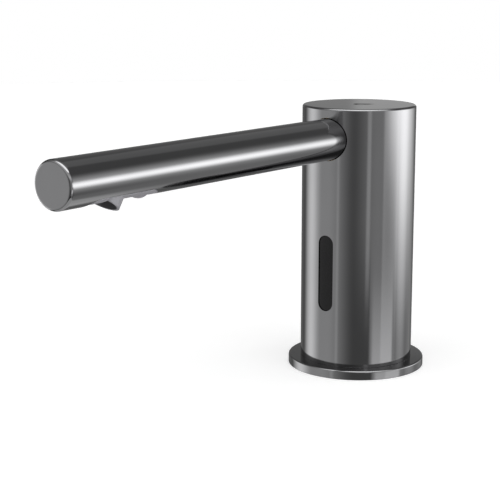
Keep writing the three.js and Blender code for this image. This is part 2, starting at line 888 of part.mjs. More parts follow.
// Where a hose runs: along the spout, round into the column and down to its inlet.
function hosePath(spoutX, inletX) {
  const bendStart = inletY - tubeBendRadius;
  const bendFloor = spoutAxisHeight - tubeBendRadius;
  const half = tubeBendRadius * Math.SQRT1_2;
  const spoutEnd = -(mixerRear - fitGap);
  const inletTop = chassisFloorTop + inletFlangeThickness + fitGap;
  const [x0, x1, x2] = hoseSpreadShares.map((share) => THREE.MathUtils.lerp(spoutX, inletX, share));
  const points = [
    [spoutX, spoutEnd, spoutAxisHeight + hoseHeightInSpout],
    [spoutX, spoutEnd + hoseStraightLength, spoutAxisHeight + hoseHeightInSpout],
    [spoutX, spoutEnd / 2, spoutAxisHeight + hoseHeightInSpout / 2],
    [spoutX, -columnRadius, spoutAxisHeight],
    [spoutX, bendStart, spoutAxisHeight],
    [x0, bendStart + half, bendFloor + half],
    [x1, inletY, bendFloor],
    [x2, inletY, (bendFloor + chassisTop) / 2],
    [inletX, inletY, chassisTop],
    [inletX, inletY, inletTop + inletBarbLength],
    [inletX, inletY, inletTop],
  ];
  return new THREE.CatmullRomCurve3(points.map((point) => new THREE.Vector3(...point)));
}

function hose(spoutX, inletX, radius, wall) {
  return along(hosePath(spoutX, inletX), radius, hoseSteps, hoseSides, radius - wall);
}

// The lead runs from the board's plug back through the chassis plate and down to its connector.
function sensorLead() {
  const plugRear = -(boardBack - plugThickness) + fitGap;
  const plateRear = -housingRear + chassisPlateThickness;
  const connectorTop = chassisFloorTop + inletFlangeThickness + leadConnectorHead + fitGap;
  const bend = leadHeight - connectorTop;
  const points = [
    [0, plugRear, leadHeight],
    [0, plateRear, leadHeight],
    [0, plateRear / 2, leadHeight],
    [0, leadConnectorY - bend, leadHeight - bend * leadDropShare],
    [0, leadConnectorY - bend * leadSweepShare, leadHeight - bend / 2],
    [0, leadConnectorY, connectorTop + bend * leadDropShare],
    [0, leadConnectorY, connectorTop],
  ];
  const route = new THREE.CatmullRomCurve3(points.map((point) => new THREE.Vector3(...point)));
  return along(route, leadRadius, leadSteps, hoseSides);
}

function addChassis(parent) {
  const soapBore = soapTubeRadius - soapTubeWall;
  const airBore = airTubeRadius - airTubeWall;
  const soapInlet = inlet(soapPortRadius, soapBore).translate(soapInletX, inletY, 0);
  const airInlet = inlet(airPortRadius, airBore).translate(airInletX, inletY, 0);
  const soapHose = hose(soapHoseX, soapInletX, soapTubeRadius, soapTubeWall);
  const airHose = hose(airHoseX, airInletX, airTubeRadius, airTubeWall);
  piece(parent, "inner_chassis", innerChassis(), finishes.blackPlastic);
  piece(parent, "soap_inlet", soapInlet, finishes.whitePlastic);
  piece(parent, "air_inlet", airInlet, finishes.whitePlastic);
  piece(parent, "lead_connector", leadConnector(), finishes.blackPlastic);
  piece(parent, "soap_tube", soapHose, finishes.clearHose);
  piece(parent, "air_tube", airHose, finishes.blueHose);
  piece(parent, "sensor_lead", sensorLead(), finishes.rubber);
}

// Spout. The group's +Z points outwards along the spout from the column's axis, and +Y is up.

// The cut-out's outline under the spout, swept down from the spout's axis.
function cutoutPrism(halfWidth, start, length, from, to) {
  const outline = prism(stadium(2 * halfWidth, length), from, to);
  const middle = spoutReach - start - length / 2;
  return outline.rotateX(Math.PI / 2).translate(0, 0, middle);
}

function spoutTube() {
  const boreStep = rootShoulder + rootBoreStep;
  const profile = [
    [rootRadius - spoutWall, rootInnerEnd],
    [rootRadius, rootInnerEnd],
    [rootRadius, rootShoulder],
    [spoutRadius, rootShoulder],
    [spoutRadius, tubeEnd],
    [spoutBore, tubeEnd],
    [spoutBore, boreStep],
    [rootRadius - spoutWall, boreStep],
    [rootRadius - spoutWall, rootInnerEnd],
  ];
  const cutout = cutoutPrism(cutoutHalfWidth, cutoutStart, cutoutLength, 0, spoutRadius + overrun);
  return cut(turned(profile, spoutSides), cutout);
}

function spoutSaddle() {
  const block = rod(saddleRadius, saddleInnerFace, columnRadius, spoutSides);
  const shaped = common(block, uprightRound(innerFit));
  const counterbore = rod(spoutRadius + slotGap, rootShoulder - fitGap, columnRadius + overrun, spoutSides);
  const bore = rod(rootRadius + fitGap, 0, columnRadius, spoutSides);
  const flatHeight = columnTop - capSpigotHeight - saddleHeadroom - spoutAxisHeight;
  const headroom = boxBetween(
    [-saddleRadius - overrun, flatHeight, 0],
    [saddleRadius + overrun, saddleRadius + overrun, columnRadius + overrun],
  );
  return cut(shaped, counterbore, bore, headroom);
}

function spoutWasher() {
  const face = saddleInnerFace - spoutWasherThickness;
  return ring(rootRadius + fitGap, spoutWasherRadius, face, saddleInnerFace, spoutSides);
}

function spoutNut() {
  const outerFace = saddleInnerFace - spoutWasherThickness;
  const innerFace = outerFace - spoutNutLength;
  const nut = ring(rootRadius + fitGap, spoutNutRadius, innerFace, outerFace, spoutSides);
  const slots = [0, 1].map((index) => {
    const slot = boxBetween(
      [-spoutNutSlotWidth / 2, -spoutNutRadius - overrun, innerFace - overrun],
      [spoutNutSlotWidth / 2, spoutNutRadius + overrun, innerFace + spoutNutSlotDepth],
    );
    return slot.rotateZ((index * Math.PI) / 2);
  });
  return cut(nut, ...slots);
}

function spoutEndCap() {
  const spigotEnd = tubeEnd - endCapSpigotLength;
  const grooveRadius = spoutFit - endCapGrooveDepth;
  const grooveMiddle = tubeEnd - endCapSpigotLength / 2;
  const grooveHalf = endCapGrooveWidth / 2;
  const profile = [
    [0, spigotEnd],
    [spoutFit, spigotEnd],
    [spoutFit, grooveMiddle - grooveHalf],
    [grooveRadius, grooveMiddle - grooveHalf],
    [grooveRadius, grooveMiddle + grooveHalf],
    [spoutFit, grooveMiddle + grooveHalf],
    [spoutFit, tubeEnd],
    [spoutRadius, tubeEnd],
    ...upperRound(spoutRadius, spoutReach, endCapEdgeRound),
    [0, spoutReach],
  ];
  return turned(profile, spoutSides);
}

function endCapSeal() {
  const middle = tubeEnd - endCapSpigotLength / 2;
  return sealRing(spoutBore - sealGap - endCapSealCord, endCapSealCord, middle);
}

// A barb for a hose behind the mixing block.
function mixerBarb(x, hoseBore) {
  const barbRoot = mixerRear + mixerRearCollar / 2;
  const barb = rod(hoseBore - fitGap, mixerRear - mixerBarbLength, barbRoot, smallSides);
  return barb.translate(x, hoseHeightInSpout, 0);
}

// The channel that carries on from a barb to the mixing chamber.
function mixerChannel(x, radius) {
  const chamber = spoutReach - valveDistance;
  const channel = rod(radius, mixerRear - mixerBarbLength - overrun, chamber, smallSides / 2);
  return channel.translate(x, hoseHeightInSpout, 0);
}

function mixingBlock() {
  const collarFront = mixerRear + mixerRearCollar;
  const grooveMiddle = mixerRear + mixerRearCollar / 2;
  const grooveRadius = spoutFit - mixerGrooveDepth;
  const grooveHalf = mixerGrooveWidth / 2;
  const profile = [
    [0, mixerRear],
    [spoutFit, mixerRear],
    [spoutFit, grooveMiddle - grooveHalf],
    [grooveRadius, grooveMiddle - grooveHalf],
    [grooveRadius, grooveMiddle + grooveHalf],
    [spoutFit, grooveMiddle + grooveHalf],
    [spoutFit, mixerFront],
    [0, mixerFront],
  ];
  const insertRoom = boxBetween(
    [-spoutRadius, -spoutRadius, collarFront],
    [spoutRadius, mixerFlat, mixerFront + overrun],
  );
  const socketTop = spigotTop + valveSeatThickness + mixerSocketHeadroom;
  const socket = rod(spigotRadius + fitGap, -overrun, socketTop, fittingSides);
  const upright = socket.rotateX(-Math.PI / 2).translate(0, 0, spoutReach - valveDistance);
  const barbed = join(
    turned(profile, spoutSides),
    mixerBarb(soapHoseX, soapTubeRadius - soapTubeWall),
    mixerBarb(airHoseX, airTubeRadius - airTubeWall),
  );
  return cut(
    barbed,
    insertRoom,
    upright,
    mixerChannel(soapHoseX, soapChannelRadius),
    mixerChannel(airHoseX, airChannelRadius),
  );
}

function mixerSeal() {
  const middle = mixerRear + mixerRearCollar / 2;
  return sealRing(spoutBore - sealGap - mixerSealCord, mixerSealCord, middle);
}

function addSpout(parent) {
  const spout = group(parent);
  spout.position.set(0, 0, spoutAxisHeight);
  spout.rotation.x = Math.PI / 2;
  piece(spout, "spout_tube", spoutTube(), finishes.gunmetal);
  piece(spout, "spout_saddle", spoutSaddle(), finishes.brass);
  piece(spout, "spout_washer", spoutWasher(), finishes.steel);
  piece(spout, "spout_nut", spoutNut(), finishes.brass);
  piece(spout, "spout_end_cap", spoutEndCap(), finishes.gunmetal);
  piece(spout, "end_cap_seal", endCapSeal(), finishes.rubber);
  piece(spout, "mixing_block", mixingBlock(), finishes.whitePlastic);
  piece(spout, "mixer_seal", mixerSeal(), finishes.rubber);
}

// Nozzle. The group's origin is on the spout's axis, over the valve, with +Z up and +Y towards the column.

function fromTip(distance) {
  return distance - valveDistance;
}

// Places a shape made along +Z so that +Z runs up the tilted outlet from the middle of its mouth.
function inOutlet(geometry) {
  return geometry.rotateX(-hoodTilt).translate(0, fromTip(hoodDistance), -hoodDepth);
}

// Flat from the tip to the button, and as round as the spout from there on.
function insertBlock() {
  const clearStart = cutoutStart + slotGap;
  const clearLength = cutoutLength - 2 * slotGap;
  const outline = stadium(2 * insertHalfWidth, clearLength);
  const middle = fromTip(clearStart + clearLength / 2);
  const block = prism(outline, -spoutRadius, insertTop).translate(0, middle, 0);
  const skin = rod(spoutRadius - insertSkinInset, -spoutReach, spoutReach, spoutSides);
  const flatEnd = fromTip(buttonDistance - buttonRadius + insertTailGap);
  const shaved = boxBetween([-spoutReach, -spoutReach, -spoutReach], [spoutReach, flatEnd, insertFloor]);
  return cut(common(block, skin.rotateX(Math.PI / 2)), shaved);
}

// A hood's outline, longer towards the column than across.
function hoodPrism(radius, from, to) {
  const outline = stadium(2 * radius, 2 * radius + hoodStretch);
  return prism(outline, from, to).translate(0, hoodStretch / 2, 0);
}

function hoodOutside() {
  const hood = inOutlet(hoodPrism(insertHalfWidth, 0, hoodLength));
  const below = boxBetween([-spoutReach, -spoutReach, -spoutReach], [spoutReach, spoutReach, insertTop]);
  return common(hood, below);
}

function buttonWell() {
  const profile = [
    [0, -spoutRadius - overrun],
    [buttonBore, -spoutRadius - overrun],
    [buttonBore, buttonFlangeFloor - fitGap],
    [buttonUpperBore, buttonFlangeFloor - fitGap],
    [buttonUpperBore, insertTop + overrun],
    [0, insertTop + overrun],
  ];
  return turned(profile, fittingSides).translate(0, fromTip(buttonDistance), 0);
}

// The nozzle's passage: valve bore, throat and the tilted outlet that the throat opens into.
function nozzlePassage() {
  const valveBore = rod(valveBoreRadius, valveLedge, spigotTop + overrun, smallSides);
  const throat = rod(valveThroat, -valveThroatDepth, spigotTop, smallSides);
  const outlet = inOutlet(rod(hoodBoreRadius, -overrun, hoodBoreDepth, fittingSides));
  const mouth = inOutlet(hoodPrism(hoodBoreRadius, -overrun, outerScreenFloor));
  return join(valveBore, throat, outlet, mouth);
}

function nozzleSealHeight() {
  return insertTop + nozzleSealLift + nozzleSealCord;
}

function nozzleInsert() {
  const spigot = rod(spigotRadius, 0, spigotTop, fittingSides);
  const grooveHalf = nozzleSealCord + sealGap / 2;
  const grooveFloor = nozzleSealHeight() - grooveHalf;
  const grooveTop = nozzleSealHeight() + grooveHalf;
  const grooveRadius = spigotRadius - nozzleSealGrooveDepth;
  const groove = ring(grooveRadius, spigotRadius + overrun, grooveFloor, grooveTop, fittingSides);
  return cut(join(insertBlock(), hoodOutside(), spigot), groove, nozzlePassage(), buttonWell());
}

function nozzleSeal() {
  const centreRadius = spigotRadius + fitGap - sealGap - nozzleSealCord;
  return sealRing(centreRadius, nozzleSealCord, nozzleSealHeight(), fittingSides);
}

// A round screen with a grid of square cells, its corners left out.
function foamScreen(floor) {
  const radius = hoodBoreRadius - fitGap;
  const pitch = (radius - screenCageWidth) * screenPitchShare;
  const halfCell = (pitch - screenBar) / 2;
  const reach = (screenCells - 1) / 2;
  const ceiling = floor + screenThickness;
  const cells = [];
  for (let column = -reach; column <= reach; column++) {
    for (let row = -reach; row <= reach; row++) {
      if (Math.abs(column) === reach && Math.abs(row) === reach) continue;
      const [x, y] = [column * pitch, row * pitch];
      cells.push(
        boxBetween(
          [x - halfCell, y - halfCell, floor - overrun],
          [x + halfCell, y + halfCell, ceiling + overrun],
        ),
      );
    }
  }
  return inOutlet(cut(rod(radius, floor, ceiling), ...cells));
}

function screenSpacer() {
  const outer = hoodBoreRadius - fitGap;
  const floor = hoodBoreDepth - screenThickness - screenSpacing;
  return inOutlet(ring(outer - screenCageWidth, outer, floor, floor + screenSpacing));
}

function valveSeat() {
  return ring(valveSeatBore, spigotRadius, spigotTop, spigotTop + valveSeatThickness);
}

function poppetFloor() {
  return spigotTop - fitGap - poppetHeadHeight;
}

function valvePoppet() {
  const floor = poppetFloor();
  const profile = [
    [0, floor - poppetStemLength],
    [poppetStemRadius, floor - poppetStemLength],
    [poppetStemRadius, floor],
    [poppetRadius, floor],
    ...upperRound(poppetRadius, floor + poppetHeadHeight, poppetHeadRound),
    [0, floor + poppetHeadHeight],
  ];
  return turned(profile, smallSides);
}

function valveSpring() {
  return spring(valveSpringRadius, valveSpringWire, valveLedge, poppetFloor(), valveSpringTurns);
}

function buttonFlangeTop() {
  return buttonFlangeFloor + buttonFlangeThickness;
}

// The button's dome is a slice of a ball; its stem and flange run in the insert's well.
function releaseButton() {
  const ballRadius = (buttonRadius ** 2 + buttonDome ** 2) / (2 * buttonDome);
  const halfAngle = Math.asin(buttonRadius / ballRadius);
  const profile = [];
  for (let step = 0; step <= domeSteps; step++) {
    const angle = halfAngle * (step / domeSteps);
    const rise = ballRadius * (1 - Math.cos(angle));
    profile.push([ballRadius * Math.sin(angle), insertFloor - buttonDome + rise]);
  }
  profile.push(
    [buttonRadius, buttonFlangeFloor],
    [buttonFlangeRadius, buttonFlangeFloor],
    [buttonFlangeRadius, buttonFlangeTop()],
    [0, buttonFlangeTop()],
  );
  return turned(profile, fittingSides);
}

function buttonSpring() {
  const ceiling = buttonRetainerFloor;
  return spring(buttonSpringRadius, buttonSpringWire, buttonFlangeTop(), ceiling, buttonSpringTurns);
}

function addNozzle(parent) {
  const nozzle = group(parent);
  nozzle.position.set(0, -(spoutReach - valveDistance), spoutAxisHeight);
  const innerScreenFloor = hoodBoreDepth - screenThickness;
  piece(nozzle, "nozzle_insert", nozzleInsert(), finishes.greyPlastic);
  piece(nozzle, "nozzle_seal", nozzleSeal(), finishes.rubber);
  piece(nozzle, "foam_screen_outer", foamScreen(outerScreenFloor), finishes.foamMesh);
  piece(nozzle, "screen_spacer", screenSpacer(), finishes.whitePlastic);
  piece(nozzle, "foam_screen_inner", foamScreen(innerScreenFloor), finishes.foamMesh);
  piece(nozzle, "valve_seat", valveSeat(), finishes.rubber);
  piece(nozzle, "valve_poppet", valvePoppet(), finishes.whitePlastic);
  piece(nozzle, "valve_spring", valveSpring(), finishes.steel);
  const release = group(nozzle);
  release.position.set(0, fromTip(buttonDistance), 0);
  const retainer = rod(buttonFlangeRadius, buttonRetainerFloor, insertTop);
  piece(release, "release_button", releaseButton(), finishes.greyPlastic);
  piece(release, "button_spring", buttonSpring(), finishes.steel);
  piece(release, "button_retainer", retainer, finishes.whitePlastic);
}

const dispenser = new THREE.Group();
dispenser.name = "soap_dispenser";
addBase(dispenser);
addColumn(dispenser);
addSetScrew(dispenser);
addSensor(dispenser);
addChassis(dispenser);
addSpout(dispenser);
addNozzle(dispenser);

export default dispenser;
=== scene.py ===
"""Automatic soap dispenser for a wash basin's deck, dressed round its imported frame.

Lengths are written in millimetres and turned to metres when a mesh is finished.
+Z is up, the spout runs along -Y and the deck is at Z = 0.
"""
import logging
import math
from dataclasses import dataclass
from enum import Enum
from typing import Callable, Iterable, Sequence

import bmesh
import bpy
from mathutils import Matrix, Vector


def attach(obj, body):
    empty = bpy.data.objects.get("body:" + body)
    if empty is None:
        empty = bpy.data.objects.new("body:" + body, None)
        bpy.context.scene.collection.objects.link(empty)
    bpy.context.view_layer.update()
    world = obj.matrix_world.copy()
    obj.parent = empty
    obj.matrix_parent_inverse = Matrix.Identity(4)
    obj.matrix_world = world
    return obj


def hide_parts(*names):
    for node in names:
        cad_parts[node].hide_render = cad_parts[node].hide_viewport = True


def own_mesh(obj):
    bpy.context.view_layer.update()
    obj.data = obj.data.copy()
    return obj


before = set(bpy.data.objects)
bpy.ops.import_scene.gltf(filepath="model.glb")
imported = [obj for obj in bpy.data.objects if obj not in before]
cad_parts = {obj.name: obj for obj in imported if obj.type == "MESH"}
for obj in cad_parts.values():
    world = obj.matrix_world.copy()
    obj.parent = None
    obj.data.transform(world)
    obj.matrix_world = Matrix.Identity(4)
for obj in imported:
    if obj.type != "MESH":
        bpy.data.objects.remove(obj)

log = logging.getLogger("soap_dispenser")

Point = tuple[float, float, float]
Corner = tuple[float, float, float]
Socket = bpy.types.NodeSocket

MM = 0.001
FULL_TURN = 2 * math.pi
RADIAN = math.degrees(1)
SHARP_ANGLE = math.radians(32)

# The middle of a noise pattern, where nearly all its values lie, and its number of finer layers.
NOISE_MIDDLE = (0.3, 0.7)
NOISE_LAYERS = 3

# How near two points are welded, in a new shape and after a cut, and how level an edge must be.
NEW_WELD = 1e-5
CUT_WELD = 1e-4
LEVEL = 1e-7

# A round end takes this share of its full width, so that its two corners don't meet.
NEARLY_FULL = 0.9999


class Direction(Enum):
    """Which way a shape made along +Z is turned before it is put in place."""

    FRONT = Matrix.Rotation(math.radians(90), 4, "X")
    BACK = Matrix.Rotation(math.radians(-90), 4, "X")


def add_object(name: str, data: bpy.types.ID) -> bpy.types.Object:
    """Makes an object from a mesh, a lamp or a camera, and puts it in the scene."""
    made = bpy.data.objects.new(name, data)
    bpy.context.scene.collection.objects.link(made)
    return made


def aim(holder: bpy.types.Object, place: Vector, along: Vector, axis: str) -> None:
    """Puts a lamp or a camera in its place.

    Args:
        holder: The lamp's or camera's object.
        place: Where it stands, in millimetres.
        along: The direction that its own axis takes.
        axis: That axis.
    """
    turn = along.to_track_quat(axis, "Y").to_matrix().to_4x4()
    holder.matrix_world = Matrix.Translation(place * MM) @ turn


# Materials


class NodeGraph:
    """A material's node tree, and short ways to add to it."""

    def __init__(self, name: str, surface: str = "BsdfPrincipled") -> None:
        """Makes a material with an output and the node that feeds its surface.

        Args:
            name: The material's name.
            surface: The type of that node, without ShaderNode at its front.
        """
        self.material = bpy.data.materials.new(name)
        self.material.use_nodes = True
        self.tree = self.material.node_tree
        self.tree.nodes.clear()
        self.shader = self.add(surface)
        self.add("OutputMaterial", Surface=self.shader.outputs[0])

    def add(self, kind: str, *first: object, **named: object) -> bpy.types.Node:
        """Adds a node.

        Args:
            kind: The node's type, without ShaderNode at its front.
            *first: What goes into its first inputs.
            **named: What goes into other inputs, by name with _ for a space.

        Returns:
            The new node.
        """
        return self.fill(self.tree.nodes.new(f"ShaderNode{kind}"), *first, **named)

    def fill(self, node: bpy.types.Node, *first: object, **named: object) -> bpy.types.Node:
        """Gives inputs of a node their links or values, as add() does, and returns the node."""
        for key, value in (*enumerate(first), *named.items()):
            self.feed(node.inputs[key if isinstance(key, int) else key.replace("_", " ")], value)
        return node

    def feed(self, target: Socket, value: object) -> None:
        """Links an input to a socket or sets its value, where a colour goes without its alpha."""
        if isinstance(value, Socket):
            self.tree.links.new(value, target)
        else:
            target.default_value = (*value, 1) if target.type == "RGBA" else value

    def place(self) -> Socket:
        """The object's own coordinates in metres."""
        return self.add("TexCoord").outputs["Object"]

    def maths(self, operation: str, *values: object, kind: str = "Math", result: str = "Value") -> Socket:
        """Works something out from sockets or constants.

        Args:
            operation: The node's operation.
            *values: What it works on.
            kind: Math, or VectorMath.
            result: The output's name.

        Returns:
            The result's socket.
        """
        node = self.add(kind, *values)
        node.operation = operation
        return node.outputs[result]

    def ramp(
        self, source: Socket, start: float, end: float, low: float, high: float, smooth: bool = True
    ) -> Socket:
        """Leads from one value to another as a number goes from start to end.

        Args:
            source: The number.
            start: Where low ends.
            end: Where high starts.
            low: The first value.
            high: The second value.
            smooth: Whether it eases in and out.

        Returns:
            The value's socket.
        """
        node = self.add("MapRange", Value=source, From_Min=start, From_Max=end, To_Min=low, To_Max=high)
        node.interpolation_type = "SMOOTHSTEP" if smooth else "LINEAR"
        return node.outputs["Result"]

    def mix(self, share: Socket, first: object, second: object) -> Socket:
        """Mixes two colours.

        Args:
            share: The second colour's share.
            first: The first colour or its socket.
            second: The second colour or its socket.

        Returns:
            The mixed colour's socket.
        """
        node = self.add("Mix", Factor=share)
        node.data_type = "RGBA"
        for target, colour in zip([s for s in node.inputs if s.type == "RGBA"], (first, second)):
            self.feed(target, colour)
        return next(socket for socket in node.outputs if socket.type == "RGBA")

    def noise(self, size: float) -> Socket:
        """A noise pattern from 0 to 1, with blotches of a width in millimetres."""
        scale = 1 / (size * MM)
        return self.add("TexNoise", Vector=self.place(), Scale=scale, Detail=NOISE_LAYERS).outputs["Fac"]


@dataclass(frozen=True)
class Finish:
    """A surface finish.

    Attributes:
        name: The record's slot that the finish belongs to.
        dark: The colour of the pattern's low parts.
        light: The colour of its high parts.
        metallic: 1 for a metal.
        roughness: The least and greatest roughness.
        mottle: The width of the colour's blotches in millimetres.
        grain: The width of the bump's grains in millimetres.
        relief: The bump's height in millimetres.
        settings: Other values of the shader by name, with _ for a space.
        bump: How strongly the bump shows.
        finer: How many times finer the roughness's blotches are than the colour's.
    """

    name: str
    dark: Point
    light: Point
    metallic: float = 0
    roughness: tuple[float, float] = (0.4, 0.5)
    mottle: float = 9
    grain: float = 0.4
    relief: float = 0.01
    settings: tuple[tuple[str, float], ...] = ()
    bump: float = 0.5
    finer: float = 3

    @property
    def label(self) -> str:
        """The material's name, apart from the frame's plain material of the slot."""
        return f"{self.name}_finish"

    def material(self) -> bpy.types.Material:
        """The finish's material, made the first time that it is asked for."""
        return bpy.data.materials.get(self.label) or self.build()

    def build(self) -> bpy.types.Material:
        """Makes the material.

        Returns:
            The new material.
        """
        graph = NodeGraph(self.label)
        colour, dull, raised = self.patterns(graph)
        roughness = graph.ramp(dull, *NOISE_MIDDLE, *self.roughness, smooth=False)
        bump = graph.add("Bump", Strength=self.bump, Distance=self.relief * MM, Height=raised)
        graph.fill(
            graph.shader, Base_Color=colour, Metallic=self.metallic, Roughness=roughness,
            Normal=bump.outputs["Normal"], **dict(self.settings),
        )
        return graph.material

    def patterns(self, graph: NodeGraph) -> tuple[Socket, Socket, Socket]:
        """Makes what varies the material.

        Args:
            graph: The material's nodes.

        Returns:
            The sockets of its colour, and of the patterns of its roughness and of its relief.
        """
        return self.mottled(graph), graph.noise(self.mottle / self.finer), graph.noise(self.grain)

    def mottled(self, graph: NodeGraph) -> Socket:
        """The colour, from dark to light with a noise pattern."""
        share = graph.ramp(graph.noise(self.mottle), *NOISE_MIDDLE, 0, 1, smooth=False)
        return graph.mix(share, self.dark, self.light)


@dataclass(frozen=True)
class TurnedFinish(Finish):
    """A metal with the fine rings that a lathe leaves round an upright axis.

    Attributes:
        pitch: The rings' width in millimetres, on the wave texture's scale.
        waver: How uneven they are.
    """

    bump: float = 0.4
    pitch: float = 7
    waver: float = 0.4

    def patterns(self, graph: NodeGraph) -> tuple[Socket, Socket, Socket]:
        """Varies the roughness and the relief with rings about the object's upright axis."""
        scale = 1 / (self.pitch * MM)
        rings = graph.add("TexWave", Vector=graph.place(), Scale=scale, Distortion=self.waver)
        rings.wave_type = "RINGS"
        rings.rings_direction = "Z"
        return self.mottled(graph), rings.outputs["Fac"], rings.outputs["Fac"]


@dataclass(frozen=True)
class BoardFinish(Finish):
    """Green lacquer over the copper tracks of a circuit board.

    Attributes:
        tracks: The pattern's scale.
        track_width: The tracks' width on that scale.
    """

    bump: float = 0.3
    tracks: float = 420
    track_width: float = 0.025

    def patterns(self, graph: NodeGraph) -> tuple[Socket, Socket, Socket]:
        """Varies the colour and the relief with a pattern of tracks in the upright plane."""
        axes = graph.add("SeparateXYZ", graph.place()).outputs
        plane = graph.add("CombineXYZ", axes["X"], axes["Z"]).outputs["Vector"]
        tracks = graph.add(
            "TexBrick", Vector=plane, Scale=self.tracks, Mortar_Size=self.track_width,
            Color1=self.dark, Color2=self.dark, Mortar=self.light,
        )
        return tracks.outputs["Color"], graph.noise(self.mottle), tracks.outputs["Fac"]


@dataclass(frozen=True)
class HoodShadeFinish(Finish):
    """A moulded plastic with painted shade inside the tilted outlet, where its bore lies in shadow.

    Attributes:
        mouth: The middle of the outlet's mouth in millimetres.
        tilt: How far the outlet leans from upright.
        reach: How far across from the outlet's axis the painted shade goes.
        depth: How far up the outlet it goes.
        shorten: The outlet's width as a share of its length.
        blur: The width of the painted shade's edge.
        inside: The painted shade's colour.
    """

    mouth: Point = (0, -145.12, 84.65)
    tilt: float = math.radians(33)
    reach: float = 4.8
    depth: float = 5.7
    shorten: float = 0.91
    blur: float = 0.08
    inside: Point = (0.085, 0.083, 0.088)

    def patterns(self, graph: NodeGraph) -> tuple[Socket, Socket, Socket]:
        """Paints shade on the colour inside the outlet, where its bore lies in shadow."""
        outside, dull, raised = super().patterns(graph)
        mouth = Matrix.Rotation(self.tilt, 4, "X") @ Vector(self.mouth) * MM
        turned = graph.add("Mapping", graph.place(), Rotation=(self.tilt, 0, 0), Location=-mouth)
        place, flat = turned.outputs["Vector"], (1, self.shorten, 0)
        across = graph.maths("MULTIPLY", place, flat, kind="VectorMath", result="Vector")
        limits = (
            (graph.maths("LENGTH", across, kind="VectorMath"), self.reach),
            (graph.add("SeparateXYZ", place).outputs["Z"], self.depth),
        )
        shade_masks = [
            graph.ramp(distance, limit * MM, (limit + self.blur) * MM, 1, 0, smooth=False)
            for distance, limit in limits
        ]
        # Painted shade: the plain colour turns dark within the outlet's bore, where shadow falls.
        colour = graph.mix(graph.maths("MULTIPLY", *shade_masks), outside, self.inside)
        return colour, dull, raised


GREY_SHADES = (0.245, 0.24, 0.262), (0.275, 0.27, 0.292), 0, (0.36, 0.46), 5, 0.25, 0.006
GUNMETAL = Finish(
    "gunmetal", (0.192, 0.192, 0.196), (0.208, 0.208, 0.212), 1, (0.07, 0.11), 30, 2.5, 0.0006
)
BRASS = TurnedFinish("brass", (0.62, 0.45, 0.2), (0.72, 0.55, 0.28), 1, (0.22, 0.38), 8, 0.4, 0.01)
STEEL = Finish("steel", (0.55, 0.56, 0.57), (0.66, 0.67, 0.68), 1, (0.24, 0.36), 4, 0.3, 0.004)
BLACK_STEEL = Finish("black_steel", (0.035, 0.035, 0.037), (0.06, 0.06, 0.062), 1, (0.32, 0.45), 2, 0.2)
GREY_PLASTIC = Finish("grey_plastic", *GREY_SHADES)
# Grey plastic with painted shade inside the outlet.
HOOD_SHADE_PLASTIC = HoodShadeFinish("hood_shade_plastic", *GREY_SHADES)
BLACK_PLASTIC = Finish(
    "black_plastic", (0.022, 0.022, 0.023), (0.034, 0.034, 0.035), 0, (0.42, 0.55), 6, 0.3, 0.01
)
WHITE_PLASTIC = Finish(
    "white_plastic", (0.74, 0.74, 0.71), (0.8, 0.8, 0.78), 0, (0.32, 0.44), 7, 0.3, 0.006
)
DARK_WINDOW = Finish(
    "dark_window", (0.005, 0.005, 0.0055), (0.007, 0.007, 0.0075), 0, (0.1, 0.16), 12, 3, 0.0005,
    (("Specular_IOR_Level", 0.2),),
)
RUBBER = Finish("rubber", (0.016, 0.016, 0.016), (0.03, 0.03, 0.03), 0, (0.6, 0.8), 3, 0.2, 0.02)
LEAD_SHEATH = Finish(
    "lead_sheath", (0.02, 0.02, 0.02), (0.032, 0.032, 0.032), 0, (0.4, 0.52), 3, 0.25, 0.008
)
CLEAR_HOSE = Finish(
    "soap_hose", (0.74, 0.78, 0.8), (0.82, 0.85, 0.86), 0, (0.1, 0.2), 6, 0.6, 0.005,
    (("Transmission_Weight", 0.6), ("IOR", 1.43)),
)
BLUE_HOSE = Finish(
    "air_hose", (0.12, 0.3, 0.5), (0.18, 0.38, 0.58), 0, (0.14, 0.24), 6, 0.6, 0.005,
    (("Transmission_Weight", 0.35), ("IOR", 1.43)),
)
BOARD = BoardFinish("circuit_board", (0.012, 0.11, 0.045), (0.03, 0.2, 0.08), 0, (0.18, 0.28), 4, 0.4, 0.02)
DIODE = Finish(
    "diode", (0.02, 0.014, 0.04), (0.035, 0.024, 0.06), 0, (0.04, 0.08), 2, 0.8, 0.001,
    (("Transmission_Weight", 0.3), ("IOR", 1.53)),
)
FOAM_SCREEN = Finish("foam_screen", (0.56, 0.56, 0.54), (0.7, 0.7, 0.68), 0, (0.4, 0.55), 0.8, 0.15, 0.01)
ETCHING = Finish("etched_mark", (0.02, 0.02, 0.021), (0.035, 0.035, 0.036), 1, (0.45, 0.6), 1, 0.1, 0.004)


# Mesh making


def groove(face: float, floor: float, start: float, end: float) -> list[Corner]:
    """The corners of a groove in a half section, for Shape.turned().

    Args:
        face: The radius of the surface that it is cut in.
        floor: The radius of its floor.
        start: Where it starts along the axis.
        end: Where it ends.

    Returns:
        Its four corners.
    """
    return [(face, start, 0), (floor, start, 0), (floor, end, 0), (face, end, 0)]


